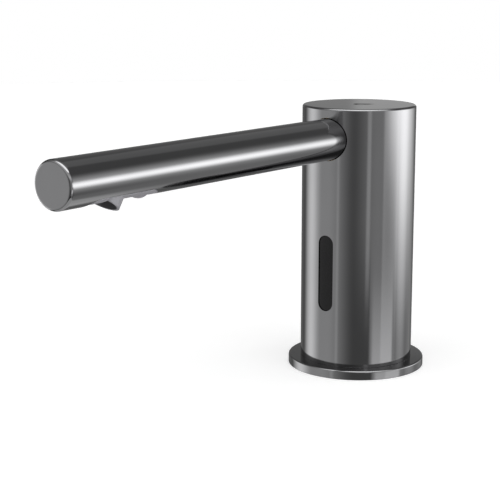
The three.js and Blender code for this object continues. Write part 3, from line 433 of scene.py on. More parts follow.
class Shape:
    """A mesh that is being made, in millimetres."""

    def __init__(self) -> None:
        """Starts an empty mesh."""
        self.mesh = bmesh.new()

    @classmethod
    def turned(cls, corners: Sequence[Corner], sides: int, rounding: int = 4) -> "Shape":
        """A body of revolution about Z.

        Args:
            corners: (radius, height, rounding radius) of each corner of the half section. A section
                that starts on the axis ends there too, and any other closes on itself.
            sides: Facets round a full circle.
            rounding: Facets of each rounded corner.

        Returns:
            The new shape.
        """
        shape = cls()
        bm = shape.mesh
        points = [bm.verts.new((radius, 0, height)) for radius, height, _ in corners]
        for start, end in zip(points, points[1:]):
            bm.edges.new((start, end))
        if corners[0][0] > 0:
            bm.edges.new((points[-1], points[0]))
        for point, (_, _, radius) in zip(points, corners):
            if radius > 0:
                shape.bevel([point], radius, rounding, affect="VERTICES")
        bmesh.ops.spin(
            bm, geom=bm.verts[:] + bm.edges[:], cent=(0, 0, 0), axis=(0, 0, 1), dvec=(0, 0, 0),
            angle=FULL_TURN, steps=sides, use_merge=True, use_duplicate=False,
        )
        return shape.closed()

    @classmethod
    def rod(cls, radius: float, low: float, high: float, sides: int) -> "Shape":
        """A round bar about Z from low to high, with a number of facets round it."""
        return cls.turned([(0, low, 0), (radius, low, 0), (radius, high, 0), (0, high, 0)], sides)

    @classmethod
    def block(cls, low: Point, high: Point) -> "Shape":
        """A box between two opposite corners."""
        shape = cls()
        size = [h - l for l, h in zip(low, high)]
        middle = [(h + l) / 2 for l, h in zip(low, high)]
        matrix = Matrix.Translation(middle) @ Matrix.Diagonal((*size, 1))
        bmesh.ops.create_cube(shape.mesh, size=1, matrix=matrix)
        return shape

    @classmethod
    def slot(cls, width: float, length: float, low: float, high: float, segments: int = 24) -> "Shape":
        """A bar with a round-ended section, its length along Y, from low to high.

        Args:
            width: The section's width, which is also its ends' diameter.
            length: The section's length over its round ends.
            low: The bar's lower end.
            high: Its upper end.
            segments: Facets of each quarter of an end.

        Returns:
            The new shape.
        """
        shape = cls.block((-width / 2, -length / 2, low), (width / 2, length / 2, high))
        upright = [e for e in shape.mesh.edges if abs(e.verts[0].co.z - e.verts[1].co.z) > LEVEL]
        shape.bevel(upright, width / 2 * NEARLY_FULL, segments)
        return shape.closed()

    def bevel(self, geometry: Sequence, width: float, segments: int, **options: object) -> None:
        """Rounds edges, or corners where affect says so.

        Args:
            geometry: The edges or corners.
            width: The rounding's width.
            segments: Facets across it.
            **options: What else the mesh operator takes.
        """
        settings = {"offset_type": "OFFSET", "profile": 0.5, "affect": "EDGES", "material": -1, **options}
        bmesh.ops.bevel(self.mesh, geom=geometry, offset=width, segments=segments, **settings)

    def weld(self, distance: float) -> None:
        """Joins the points that are nearer than a distance and drops what is flat after it."""
        bmesh.ops.remove_doubles(self.mesh, verts=self.mesh.verts, dist=distance)
        bmesh.ops.dissolve_degenerate(self.mesh, edges=self.mesh.edges, dist=distance / 10)

    def closed(self) -> "Shape":
        """Welds doubles and turns the faces outwards."""
        self.weld(NEW_WELD)
        bmesh.ops.recalc_face_normals(self.mesh, faces=self.mesh.faces)
        return self

    def scaled(self, scale: float) -> "Shape":
        """Makes the shape a number of times as large."""
        bmesh.ops.scale(self.mesh, vec=(scale, scale, scale), verts=self.mesh.verts)
        return self

    def moved(self, turn: Matrix = Matrix.Identity(4), to: Point = (0, 0, 0)) -> "Shape":
        """Turns the shape about the origin and then moves it."""
        bmesh.ops.transform(self.mesh, matrix=Matrix.Translation(to) @ turn, verts=self.mesh.verts)
        return self

    def out(self, direction: Direction, height: float, y: float = 0) -> "Shape":
        """Turns a shape made along +Z to run out to the front or the back at a height."""
        return self.moved(direction.value, (0, y, height))

    def combined(self, other: "Shape", operation: str) -> "Shape":
        """Cuts, joins or intersects with another shape, which is used up.

        Args:
            other: The other shape.
            operation: DIFFERENCE, UNION or INTERSECT.

        Returns:
            This shape, changed.
        """
        body, tool = self.scratch("body"), other.scratch("tool")
        modifier = body.modifiers.new("cut", "BOOLEAN")
        modifier.object = tool
        modifier.operation = operation
        modifier.solver = "EXACT"
        bpy.context.view_layer.update()
        evaluated = body.evaluated_get(bpy.context.evaluated_depsgraph_get())
        self.mesh.clear()
        self.mesh.from_mesh(evaluated.to_mesh())
        evaluated.to_mesh_clear()
        for used in (body, tool):
            data = used.data
            bpy.data.objects.remove(used)
            bpy.data.meshes.remove(data)
        other.mesh.free()
        self.weld(CUT_WELD)
        return self

    def scratch(self, name: str) -> bpy.types.Object:
        """A passing object that holds a copy of the shape."""
        data = bpy.data.meshes.new(name)
        self.mesh.to_mesh(data)
        return add_object(name, data)

    def cut(self, *tools: "Shape") -> "Shape":
        """Takes other shapes away."""
        for tool in tools:
            self.combined(tool, "DIFFERENCE")
        return self

    def join(self, *others: "Shape") -> "Shape":
        """Adds other shapes."""
        for other in others:
            self.combined(other, "UNION")
        return self

    def common(self, limit: "Shape") -> "Shape":
        """Keeps what lies inside another shape."""
        return self.combined(limit, "INTERSECT")

    def sharp(self, edge: bmesh.types.BMEdge) -> bool:
        """Says whether two faces meet at an edge so steeply that it shows."""
        return len(edge.link_faces) == 2 and edge.calc_face_angle(0) > SHARP_ANGLE

    def soften(self, width: float, where: Callable[[Vector], bool], segments: int = 3) -> "Shape":
        """Rounds the sharp edges whose middle is in a region.

        Args:
            width: The rounding's width.
            where: Says of a point whether it is in the region.
            segments: Facets across the rounding.

        Returns:
            This shape, changed.
        """
        chosen = [
            edge
            for edge in self.mesh.edges
            if self.sharp(edge) and where((edge.verts[0].co + edge.verts[1].co) / 2)
        ]
        self.bevel(chosen, width, segments, clamp_overlap=True)
        return self


class Fitter:
    """Turns finished shapes into pieces of the part."""

    @staticmethod
    def piece(
        name: str, shape: Shape, finish: Finish, body: str, replaces: Iterable[str] = (), slot: str = ""
    ) -> bpy.types.Object:
        """Makes a piece of the part from a shape.

        Args:
            name: The piece's name.
            shape: Its shape, which is used up.
            finish: Its finish.
            body: The body that it rides on.
            replaces: The frame's nodes that it stands for.
            slot: Not used; meant for the record's material slot, or nothing for the finish's own.

        Returns:
            The finished object.
        """
        shape.scaled(MM)
        for face in shape.mesh.faces:
            face.smooth = True
        for edge in shape.mesh.edges:
            edge.smooth = not shape.sharp(edge)
        data = bpy.data.meshes.new(name)
        shape.mesh.to_mesh(data)
        shape.mesh.free()
        data.materials.append(finish.material())
        made = add_object(name, data)
        made.modifiers.new("face_normals", "WEIGHTED_NORMAL").keep_sharp = True
        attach(made, body)
        if replaces:
            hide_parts(*replaces)
        log.info("%s: %d faces, rides %s", name, len(data.polygons), body)
        return made

    @classmethod
    def refine(cls, finish: Finish, body: str, *nodes: str) -> list[bpy.types.Object]:
        """Makes smoothly shaded pieces from nodes of the frame, whose shapes they keep.

        Args:
            finish: Their finish.
            body: The body that they ride on.
            nodes: The nodes.

        Returns:
            The finished objects.
        """
        made = []
        for node in nodes:
            shape = Shape()
            shape.mesh.from_mesh(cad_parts[node].data)
            shape.scaled(1 / MM)
            bmesh.ops.remove_doubles(shape.mesh, verts=shape.mesh.verts, dist=CUT_WELD)
            made.append(cls.piece(f"smooth_{node}", shape, finish, body, [node]))
        return made

    @staticmethod
    def dress(finish: Finish, *nodes: str) -> None:
        """Gives nodes of the frame that stay as they are their finish."""
        for node in nodes:
            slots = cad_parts[node].data.materials
            slots.clear()
            slots.append(finish.material())
            log.info("%s: %s", node, finish.name)


# Sub-assemblies


@dataclass
class Base:
    """The flange on the deck with its gasket and the mount that the column stands on."""

    flange_radius: float = 27.1
    flange_height: float = 3.6
    flange_edge: float = 0.6
    bore: float = 18.7
    groove_inner: float = 21.2
    groove_outer: float = 25.8
    groove_top: float = 1.5
    gasket_inner: float = 21.5
    gasket_outer: float = 25.5
    gasket_height: float = 1.2
    fine_edge: float = 0.2
    sides: int = 256

    def build(self) -> None:
        """Makes the flange and the gasket, and dresses the rest."""
        Fitter.piece("deck_flange", self.flange(), GUNMETAL, "base", ["base_flange"])
        Fitter.piece("deck_gasket", self.gasket(), RUBBER, "base", ["base_gasket"])
        Fitter.refine(GUNMETAL, "base", "base_mount")
        Fitter.refine(RUBBER, "base", "mount_seal")

    def flange(self) -> Shape:
        """The flange, with the groove for the gasket in its underside."""
        corners = [
            (self.bore, 0, self.fine_edge),
            (self.groove_inner, 0, self.fine_edge / 2),
            (self.groove_inner, self.groove_top, 0),
            (self.groove_outer, self.groove_top, 0),
            (self.groove_outer, 0, self.fine_edge / 2),
            (self.flange_radius, 0, self.fine_edge),
            (self.flange_radius, self.flange_height, self.flange_edge),
            (self.bore, self.flange_height, self.fine_edge),
        ]
        return Shape.turned(corners, self.sides, 5)

    def gasket(self) -> Shape:
        """The flat ring that seals the flange on the deck."""
        corners = [
            (self.gasket_inner, 0, 0.15),
            (self.gasket_outer, 0, 0.15),
            (self.gasket_outer, self.gasket_height, 0.3),
            (self.gasket_inner, self.gasket_height, 0.3),
        ]
        return Shape.turned(corners, self.sides // 2, 3)


@dataclass
class Column:
    """The upright shell, its cap and the screw that clamps it on the mount.

    Attributes:
        mark_core: The hole in the mark's outline, as a share of its size.
        mark_tip: How much longer the drop is towards its tip.
        mark_taper: How it narrows there, where 1 is straight.
        mark_recess: How far the mark's face lies under the cap's top.
    """

    radius: float = 22.25
    bore: float = 20.25
    foot: float = 3.6
    top: float = 103.4
    cap_top: float = 104.4
    cap_edge: float = 0.92
    cap_spigot_radius: float = 19.95
    cap_spigot_depth: float = 1.8
    cap_groove_radius: float = 18.9
    cap_groove: tuple[float, float] = (101.925, 103.075)
    ring_groove: tuple[float, float] = (14.3, 15.5)
    ring_groove_radius: float = 21.05
    window_width: float = 6.7
    window_height: float = 30
    window_centre: float = 40.3
    spout_hole_radius: float = 8.25
    spout_height: float = 92.5
    screw_height: float = 11.5
    screw_radius: float = 2
    screw_tip: float = 18.25
    screw_face: float = 21.85
    screw_play: float = 0.2
    socket_radius: float = 1.15
    socket_depth: float = 1.8
    overrun: float = 5
    sides: int = 360
    mark_place: tuple[float, float] = (1.0, -0.6)
    mark_turn: float = math.radians(-50)
    mark_depth: float = 0.12
    mark_size: float = 2.9
    mark_core: float = 0.5
    mark_tip: float = 1.9
    mark_taper: float = 0.6
    mark_sides: int = 72
    mark_play: float = 0.01
    mark_recess: float = 0.03

    def build(self) -> None:
        """Makes the shell, the cap with its mark and the set screw, and dresses the rest."""
        Fitter.piece("column_tube", self.shell(), GUNMETAL, "column", ["column_shell"])
        cap = self.cap().cut(self.droplet(0, -self.mark_depth, 1))
        Fitter.piece("column_cap", cap, GUNMETAL, "column", ["top_cap"])
        mark = self.droplet(self.mark_play, -self.mark_depth, -self.mark_recess)
        Fitter.piece("cap_droplet", mark, ETCHING, "column", slot="gunmetal")
        Fitter.piece("socket_set_screw", self.set_screw(), BLACK_STEEL, "set_screw", ["set_screw"])
        Fitter.refine(RUBBER, "column", "cap_seal")
        Fitter.refine(STEEL, "column", "retaining_ring")

    def shell(self) -> Shape:
        """The tube with its window, the spout's hole and the set screw's hole."""
        corners = [
            (self.bore, self.foot, 0.12),
            (self.radius, self.foot, 0.15),
            (self.radius, self.top, 0),
            (self.bore, self.top, 0),
            *groove(self.bore, self.ring_groove_radius, *reversed(self.ring_groove)),
        ]
        far = self.radius + self.overrun
        window = Shape.slot(self.window_width, self.window_height, 0, far)
        hole = Shape.rod(self.spout_hole_radius, 0, far, 128)
        screw = Shape.rod(self.screw_radius + self.screw_play, 0, far, 48)
        return Shape.turned(corners, self.sides).cut(
            window.out(Direction.FRONT, self.window_centre),
            hole.out(Direction.FRONT, self.spout_height),
            screw.out(Direction.BACK, self.screw_height),
        )

    def cap(self) -> Shape:
        """The cap with its spigot and the groove for its seal."""
        foot = self.top - self.cap_spigot_depth
        corners = [
            (0, foot, 0),
            (self.cap_spigot_radius, foot, 0.2),
            *groove(self.cap_spigot_radius, self.cap_groove_radius, *self.cap_groove),
            (self.cap_spigot_radius, self.top, 0),
            (self.radius, self.top, 0),
            (self.radius, self.cap_top, self.cap_edge),
            (0, self.cap_top, 0),
        ]
        return Shape.turned(corners, self.sides, 6)

    def droplet(self, slack: float, low: float, high: float) -> Shape:
        """The outline of a drop, as a flat band with its tip towards +Y before it is turned.

        Args:
            slack: How much narrower the band is on each side than the mark.
            low: Its underside, from the cap's top.
            high: Its upper side.

        Returns:
            The band, in its place on the cap.
        """
        shape = Shape()
        bm = shape.mesh
        for size in (self.mark_size - slack, self.mark_size * self.mark_core + slack):
            ring = bmesh.ops.create_circle(bm, cap_ends=False, radius=size, segments=self.mark_sides)
            for vert in ring["verts"]:
                height = vert.co.y / size
                if height > 0:
                    vert.co.x *= max(1 - height, 0) ** self.mark_taper
                    vert.co.y *= self.mark_tip
        bmesh.ops.bridge_loops(bm, edges=bm.edges[:])
        flat = bm.faces[:] + bm.edges[:]
        raised = bmesh.ops.extrude_face_region(bm, geom=flat, use_keep_orig=True)
        verts = [item for item in raised["geom"] if isinstance(item, bmesh.types.BMVert)]
        bmesh.ops.translate(bm, vec=(0, 0, high - low), verts=verts)
        turn = Matrix.Rotation(self.mark_turn, 4, "Z")
        return shape.closed().moved(turn, (*self.mark_place, self.cap_top + low))

    def set_screw(self) -> Shape:
        """The headless screw with its hexagonal socket."""
        corners = [
            (0, self.screw_tip, 0),
            (self.screw_radius, self.screw_tip, 0.4),
            (self.screw_radius, self.screw_face, 0.25),
            (0, self.screw_face, 0),
        ]
        socket = Shape.rod(self.socket_radius, self.screw_face - self.socket_depth, self.screw_face + 1, 6)
        return Shape.turned(corners, 48).cut(socket).out(Direction.BACK, self.screw_height)


@dataclass
class Sensor:
    """The dark window in the column's front and the electronics behind it.

    Attributes:
        face_zone: How far in front of the column's axis the window's rounded edges start.
        tall: Higher than the window's upper end.
    """

    width: float = 6.3
    height: float = 29.6
    centre: float = 40.3
    back: float = 17.9
    face_radius: float = 21.85
    flange_width: float = 10
    flange_height: float = 33.3
    flange_thickness: float = 1
    face_edge: float = 0.22
    face_zone: float = 19.4
    tall: float = 80

    def build(self) -> None:
        """Makes the window's lens and dresses the pieces behind it."""
        Fitter.piece("window_lens", self.lens(), DARK_WINDOW, "column", ["sensor_lens"])
        Fitter.dress(RUBBER, "lens_gasket")
        Fitter.dress(BLACK_PLASTIC, "sensor_housing", "inner_chassis", "lead_connector")
        Fitter.dress(BOARD, "sensor_board")
        Fitter.dress(DIODE, "infrared_emitter", "infrared_receiver")
        Fitter.dress(WHITE_PLASTIC, "board_plug", "soap_inlet", "air_inlet")
        Fitter.dress(STEEL, "sensor_screw_upper", "sensor_screw_lower")
        Fitter.dress(LEAD_SHEATH, "sensor_lead")
        Fitter.dress(CLEAR_HOSE, "soap_tube")
        Fitter.dress(BLUE_HOSE, "air_tube")

    def lens(self) -> Shape:
        """The lens, whose face follows the column's round, with its flange."""
        stem = Shape.slot(self.width, self.height, self.back, self.face_radius + 2)
        stem.out(Direction.FRONT, self.centre).common(Shape.rod(self.face_radius, 0, self.tall, 360))
        stem.soften(self.face_edge, lambda point: point.y < -self.face_zone)
        front = self.back + self.flange_thickness
        flange = Shape.slot(self.flange_width, self.flange_height, self.back, front)
        return stem.join(flange.out(Direction.FRONT, self.centre))


@dataclass
class Spout:
    """The tube that reaches over the basin, and the cap at its end."""

    radius: float = 8
    bore: float = 7
    reach: float = 166.3
    tube_end: float = 164.7
    axis_height: float = 92.5
    root_radius: float = 6.8
    root_bore: float = 5.8
    root_inner_end: float = 9.5
    root_shoulder: float = 18.5
    bore_step: float = 20.5
    cutout_half_width: float = 5.8
    cutout_length: float = 34.7
    cutout_start: float = 10
    cap_edge: float = 1.15
    spigot_radius: float = 6.7
    spigot_length: float = 3.5
    groove_depth: float = 1.05
    groove_width: float = 1.4
    overrun: float = 3
    sides: int = 256

    def build(self) -> None:
        """Makes the tube and its end cap, and dresses what is inside."""
        Fitter.piece("spout_pipe", self.pipe(), GUNMETAL, "column", ["spout_tube"])
        Fitter.piece("spout_end_disc", self.end_cap(), GUNMETAL, "column", ["spout_end_cap"])
        Fitter.refine(BRASS, "column", "spout_saddle", "spout_nut")
        Fitter.refine(STEEL, "column", "spout_washer")
        Fitter.refine(RUBBER, "column", "end_cap_seal", "mixer_seal")
        Fitter.refine(WHITE_PLASTIC, "column", "mixing_block")

    def pipe(self) -> Shape:
        """The tube with its threaded root and the cut-out under its end."""
        corners = [
            (self.root_bore, self.root_inner_end, 0.2),
            (self.root_radius, self.root_inner_end, 0.4),
            (self.root_radius, self.root_shoulder, 0),
            (self.radius, self.root_shoulder, 0.3),
            (self.radius, self.tube_end, 0),
            (self.bore, self.tube_end, 0),
            (self.bore, self.bore_step, 0),
            (self.root_bore, self.bore_step, 0),
        ]
        cutout = Shape.slot(2 * self.cutout_half_width, self.cutout_length, -self.radius - self.overrun, 0)
        middle = self.reach - self.cutout_start - self.cutout_length / 2
        cutout.moved(to=(0, -middle, self.axis_height))
        return Shape.turned(corners, self.sides).out(Direction.FRONT, self.axis_height).cut(cutout)

    def end_cap(self) -> Shape:
        """The disc that closes the spout, with its spigot."""
        start = self.tube_end - self.spigot_length
        floor = self.spigot_radius - self.groove_depth
        middle, half = self.tube_end - self.spigot_length / 2, self.groove_width / 2
        corners = [
            (0, start, 0),
            (self.spigot_radius, start, 0.3),
            *groove(self.spigot_radius, floor, middle - half, middle + half),
            (self.spigot_radius, self.tube_end, 0),
            (self.radius, self.tube_end, 0),
            (self.radius, self.reach, self.cap_edge),
            (0, self.reach, 0),
        ]
        return Shape.turned(corners, self.sides, 8).out(Direction.FRONT, self.axis_height)


@dataclass
class Nozzle:
    """The insert under the spout's end, with its hooded outlet and its release button.

    Attributes:
        hood_stretch: How much longer the hood's section is than wide.
        play: The gap round the release button.
        mouth_play: How much wider the bore is at the outlet's mouth.
        overrun: How far a cutting tool goes past what it cuts.
        far: Further than the insert reaches from its middle across the spout.
    """

    valve_y: float = -140.9
    axis_height: float = 92.5
    half_width: float = 5.55
    insert_length: float = 34.2
    insert_middle_y: float = -138.95
    floor: float = -7.1
    flat_end_y: float = -131.2
    top: float = 0.8
    skin_radius: float = 7.95
    tilt: float = math.radians(33)
    mouth_y: float = -145.5
    mouth_depth: float = 7.6
    hood_length: float = 8.2
    hood_stretch: float = 0.9
    hood_bore: float = 4.65
    hood_bore_depth: float = 5.6
    mouth_bore_depth: float = 3.6
    mouth_edge: float = 0.2
    spigot_radius: float = 3.2
    spigot_top: float = 4.2
    valve_bore: float = 2
    valve_ledge: float = 0.4
    throat: float = 1.1
    throat_depth: float = 5.9
    seal_groove: tuple[float, float] = (1.325, 2.375)
    groove_radius: float = 2.4
    groove_outside: float = 6
    button_y: float = -128.4
    button_radius: float = 3.3
    button_dome: float = 1.6
    button_flange: float = 3.9
    button_flange_floor: float = -4.9
    button_flange_top: float = -3.9
    button_travel: float = 0.8
    valve_travel: float = 1
    play: float = 0.3
    mouth_play: float = 0.08
    dome_steps: int = 12
    overrun: float = 3
    far: float = 20

    def build(self) -> None:
        """Makes the insert and the button, and dresses the small pieces inside."""
        insert = self.insert()
        # The insert's finish paints shade inside its outlet.
        Fitter.piece("outlet_insert", insert, HOOD_SHADE_PLASTIC, "nozzle", ["nozzle_insert"], "grey_plastic")
        Fitter.piece("release_dome", self.button(), GREY_PLASTIC, "release_button", ["release_button"])
        Fitter.refine(FOAM_SCREEN, "nozzle", "foam_screen_outer", "foam_screen_inner")
        Fitter.refine(WHITE_PLASTIC, "nozzle", "screen_spacer", "button_retainer")
        Fitter.refine(WHITE_PLASTIC, "valve_poppet", "valve_poppet")
        Fitter.refine(RUBBER, "nozzle", "nozzle_seal", "valve_seat")
        self.spring("valve_spring")
        self.spring("button_spring")

    def spring(self, node: str) -> None:
        """Makes a spring that its joint presses together.

        Args:
            node: The spring's node in the frame.
        """
        (coil,) = Fitter.refine(STEEL, "nozzle", node)
        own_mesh(coil)

    def at(self, shape: Shape, y: float) -> Shape:
        """Moves a shape from the spout's axis to its place along the spout."""
        return shape.moved(to=(0, y, self.axis_height))

    def in_outlet(self, shape: Shape) -> Shape:
        """Places a shape so that its +Z runs up the tilted outlet from the mouth."""
        place = (0, self.mouth_y, self.axis_height - self.mouth_depth)
        return shape.moved(Matrix.Rotation(-self.tilt, 4, "X"), place)

    def hood_prism(self, radius: float, low: float, high: float) -> Shape:
        """A bar with the hood's section, which is longer towards the column than across."""
        bar = Shape.slot(2 * radius, 2 * radius + self.hood_stretch, low, high)
        return bar.moved(to=(0, self.hood_stretch / 2, 0))

    def insert(self) -> Shape:
        """The moulded insert: a skin that fills the cut-out, the hood, the spigot and the wells."""
        block = Shape.slot(2 * self.half_width, self.insert_length, -self.skin_radius - 1, self.top, 16)
        self.at(block, self.insert_middle_y)
        far, beyond = self.far, self.overrun
        skin = Shape.rod(self.skin_radius, -far, far, 128)
        block.common(skin.out(Direction.FRONT, self.axis_height, self.insert_middle_y))
        front, low = self.insert_middle_y - 1.5 * far, self.axis_height - far
        block.cut(Shape.block((-far, front, low), (far, self.flat_end_y, self.axis_height + self.floor)))
        hood = self.in_outlet(self.hood_prism(self.half_width, 0, self.hood_length))
        ceiling = self.axis_height + self.top
        hood.cut(Shape.block((-far, self.mouth_y - far, ceiling), (far, self.mouth_y + far, ceiling + far)))
        spigot = self.at(Shape.rod(self.spigot_radius, 0, self.spigot_top, 64), self.valve_y)
        block.join(hood, spigot)
        ring = Shape.turned(groove(self.groove_radius, self.groove_outside, *self.seal_groove), 64)
        passage = self.in_outlet(Shape.rod(self.hood_bore, -beyond, self.hood_bore_depth, 96))
        wide = self.hood_bore + self.mouth_play
        mouth = self.in_outlet(self.hood_prism(wide, -beyond, self.mouth_bore_depth))
        valve = Shape.rod(self.valve_bore, self.valve_ledge, self.spigot_top + beyond, 48)
        throat = Shape.rod(self.throat, -self.throat_depth, self.spigot_top, 32)
        neck, room = self.button_radius + self.play, self.button_flange + self.play
        step = self.button_flange_floor - self.play
        well = [
            (0, self.floor - beyond, 0),
            (neck, self.floor - beyond, 0),
            (neck, step, 0),
            (room, step, 0),
            (room, self.top + beyond, 0),
            (0, self.top + beyond, 0),
        ]
        block.cut(
            self.at(ring, self.valve_y),
            passage,
            mouth,
            self.at(valve, self.valve_y),
            self.at(throat, self.valve_y),
            self.at(Shape.turned(well, 96), self.button_y),
        )
        return block.soften(self.mouth_edge, self.in_mouth_plane, 4)

    def in_mouth_plane(self, point: Vector) -> bool:
        """Says whether a point lies in the plane of the outlet's mouth."""
        away = point - Vector((0, self.mouth_y, self.axis_height - self.mouth_depth))
        axis = Vector((0, math.sin(self.tilt), math.cos(self.tilt)))
        return abs(away.dot(axis)) < self.mouth_edge / 4

    def button(self) -> Shape:
        """The release button with its shallow dome."""
        ball = (self.button_radius**2 + self.button_dome**2) / (2 * self.button_dome)
        half = math.asin(self.button_radius / ball)
        angles = [half * step / self.dome_steps for step in range(self.dome_steps + 1)]
        tip = self.floor - self.button_dome
        dome = [(ball * math.sin(angle), tip + ball * (1 - math.cos(angle)), 0) for angle in angles]
        rest = [
            (self.button_radius, self.button_flange_floor, 0),
            (self.button_flange, self.button_flange_floor, 0.15),
            (self.button_flange, self.button_flange_top, 0.15),
            (0, self.button_flange_top, 0),
        ]
        return self.at(Shape.turned(dome + rest, 96, 2), self.button_y)


# Studio and camera


@dataclass(frozen=True)
class Panel:
    """A lit zone of the light tent.

    Attributes:
        name: What it is for.
        level: How bright it is, where 1 renders white.
        azimuth: Its middle, in degrees from +X towards +Y.
        half_width: Half the width in which it is fully bright.
        side_fade: The width of its soft side edges.
        elevation: Its middle in degrees above the object's middle.
        half_height: Half the height in which it is fully bright.
        end_fade: The height of its soft upper and lower edges.
    """

    name: str
    level: float
    azimuth: float
    half_width: float
    side_fade: float
    elevation: float = -12
    half_height: float = 20
    end_fade: float = 20


@dataclass
class Studio:
    """A light tent round the object, a pale floor and one key lamp.

    Attributes:
        tent_middle: The height that the panels' elevations are measured from.
        ground_level: How bright the tent is between its panels, where 1 renders white.
        floor_glow: What the floor adds for the camera round the object, which leaves a faint shadow.
        far_glow: What it adds beyond far_glow_full, where little light falls on it.
        roof_level: How bright the roof is in front of the object.
        roof_dim: How bright it is behind.
        roof_front: The azimuth of its front in degrees.
        roof_blend: Half the width of its change from dim to bright.
        lamp_target: What the lamp looks at.
    """

    tent_radius: float = 1500
    tent_low: float = -1500
    tent_high: float = 1900
    tent_middle: float = 60
    ground_level: float = 0.045
    floor_radius: float = 1450
    floor_tone: float = 0.8
    floor_glow: float = 0.43
    far_glow: float = 0.6
    far_glow_from: float = 300
    far_glow_full: float = 950
    roof_level: float = 4.0
    roof_dim: float = 0.5
    roof_front: float = -57
    roof_blend: float = 187.5
    sides: int = 128
    lamp_sides: tuple[float, float] = (300, 340)
    lamp_energy: float = 1.9
    lamp_azimuth: float = math.radians(48)
    lamp_elevation: float = math.radians(7)
    lamp_distance: float = 1300
    lamp_target: Point = (0, -100, 92.5)
    panels: tuple[Panel, ...] = (
        Panel("key softbox", 2.95, 48.5, 2.5, 44, -2, 0.5, 15),
        Panel("key halo", 1.4, 43.5, 0.5, 23, 0, 0.5, 35),
        Panel("key top", 1.8, 17, 2, 26, 2, 3, 9),
        Panel("right wash", 0.33, 13, 16, 3.5, -19, 18, 40),
        Panel("right strip", 0.44, -35.5, 1.7, 4, 8, 20, 4),
        Panel("front wash", 0.45, -15, 0.5, 60, 12, 22, 7),
        Panel("front low wash", 0.45, -3, 24, 4, -26, 9, 7),
        Panel("front bounce", 0.88, 0, 20, 7.5, -22.5, 3, 7.5),
        Panel("front strip", 0.28, -97, 0.7, 4),
        Panel("left wash", 0.75, -127, 8, 60, -12, 20, 8),
        Panel("left softbox", 1.64, -164.5, 0.5, 29.5, -12, 20, 8),
        Panel("rear bounce", 0.68, 97.5, 20.5, 14, -54.5, 3, 12),
        Panel("rear ceiling", 0.14, 100, 14.5, 9, 44.5, 11, 6),
        Panel("rear strip", 0.27, 113.5, 2.5, 2.5, 8, 3, 9.5),
        Panel("right bounce", 0.3, 72, 12, 18.5, -36.5, 32.5, 7.5),
        Panel("rear gap", 0.08, 130.5, 10.5, 15.5, 6.5, 4, 4),
        Panel("rear doorway", 0.15, 117, 6, 1, 7, 4, 4),
        Panel("front ceiling", 0.9, -57, 60, 30, 42, 12, 18),
        Panel("left ceiling", 0.4, -125, 20, 20, 42, 12, 18),
        Panel("rear cloth", 0.15, 90, 90, 10, 0, 90, 1),
        Panel("front cloth", 0.15, -90, 80, 10, 8, 40, 8),
    )

    def build(self) -> None:
        """Makes the surroundings, the tent with its roof, the floor and the lamp."""
        self.world()
        radius = self.tent_radius * MM
        middle = (self.tent_high + self.tent_low) / 2 * MM
        height = (self.tent_high - self.tent_low) * MM
        self.surface(
            "light_tent", self.tent_material(), bmesh.ops.create_cone, ("camera", "shadow"),
            cap_ends=False, segments=self.sides, radius1=radius, radius2=radius, depth=height,
            matrix=Matrix.Translation((0, 0, middle)),
        )
        self.surface(
            "tent_roof", self.roof_material(), bmesh.ops.create_circle, ("camera", "diffuse", "shadow"),
            cap_ends=True, segments=self.sides // 2, radius=radius,
            matrix=Matrix.Translation((0, 0, self.tent_high * MM)),
        )
        self.surface(
            "pale_floor", self.floor_material(), bmesh.ops.create_circle, ("glossy",),
            cap_ends=True, segments=self.sides, radius=self.floor_radius * MM,
        )
        self.key_lamp()

    def world(self) -> None:
        """Plain white surroundings outside the tent."""
        world = bpy.data.worlds.new("white_room")
        world.use_nodes = True
        background = world.node_tree.nodes["Background"]
        background.inputs["Color"].default_value = (1, 1, 1, 1)
        background.inputs["Strength"].default_value = 1
        bpy.context.scene.world = world

    @staticmethod
    def surface(
        name: str,
        material: bpy.types.Material,
        operator: Callable[..., object],
        unseen: Iterable[str],
        **options: object,
    ) -> None:
        """Makes a surface of the studio, which isn't part of the object.

        Args:
            name: Its name.
            material: Its material.
            operator: The mesh operator that makes it.
            unseen: The kinds of ray that pass it by.
            **options: What the operator takes.
        """
        data = bpy.data.meshes.new(name)
        bm = bmesh.new()
        operator(bm, **options)
        bm.to_mesh(data)
        bm.free()
        data.materials.append(material)
        made = add_object(name, data)
        for ray in unseen:
            setattr(made, f"visible_{ray}", False)

    def roof_material(self) -> bpy.types.Material:
        """Cloth that is lit over the camera and dark behind the object, and that only mirrors see.

        Returns:
            The material.
        """
        graph = NodeGraph("roof_cloth", "Emission")
        turn = math.radians(self.roof_front)
        front = (math.cos(turn), math.sin(turn), 0)
        forward = graph.maths("DOT_PRODUCT", graph.place(), front, kind="VectorMath")
        span = self.roof_blend * MM
        level = graph.ramp(forward, -span, span, self.roof_dim, self.roof_level)
        graph.fill(graph.shader, Strength=level)
        return graph.material

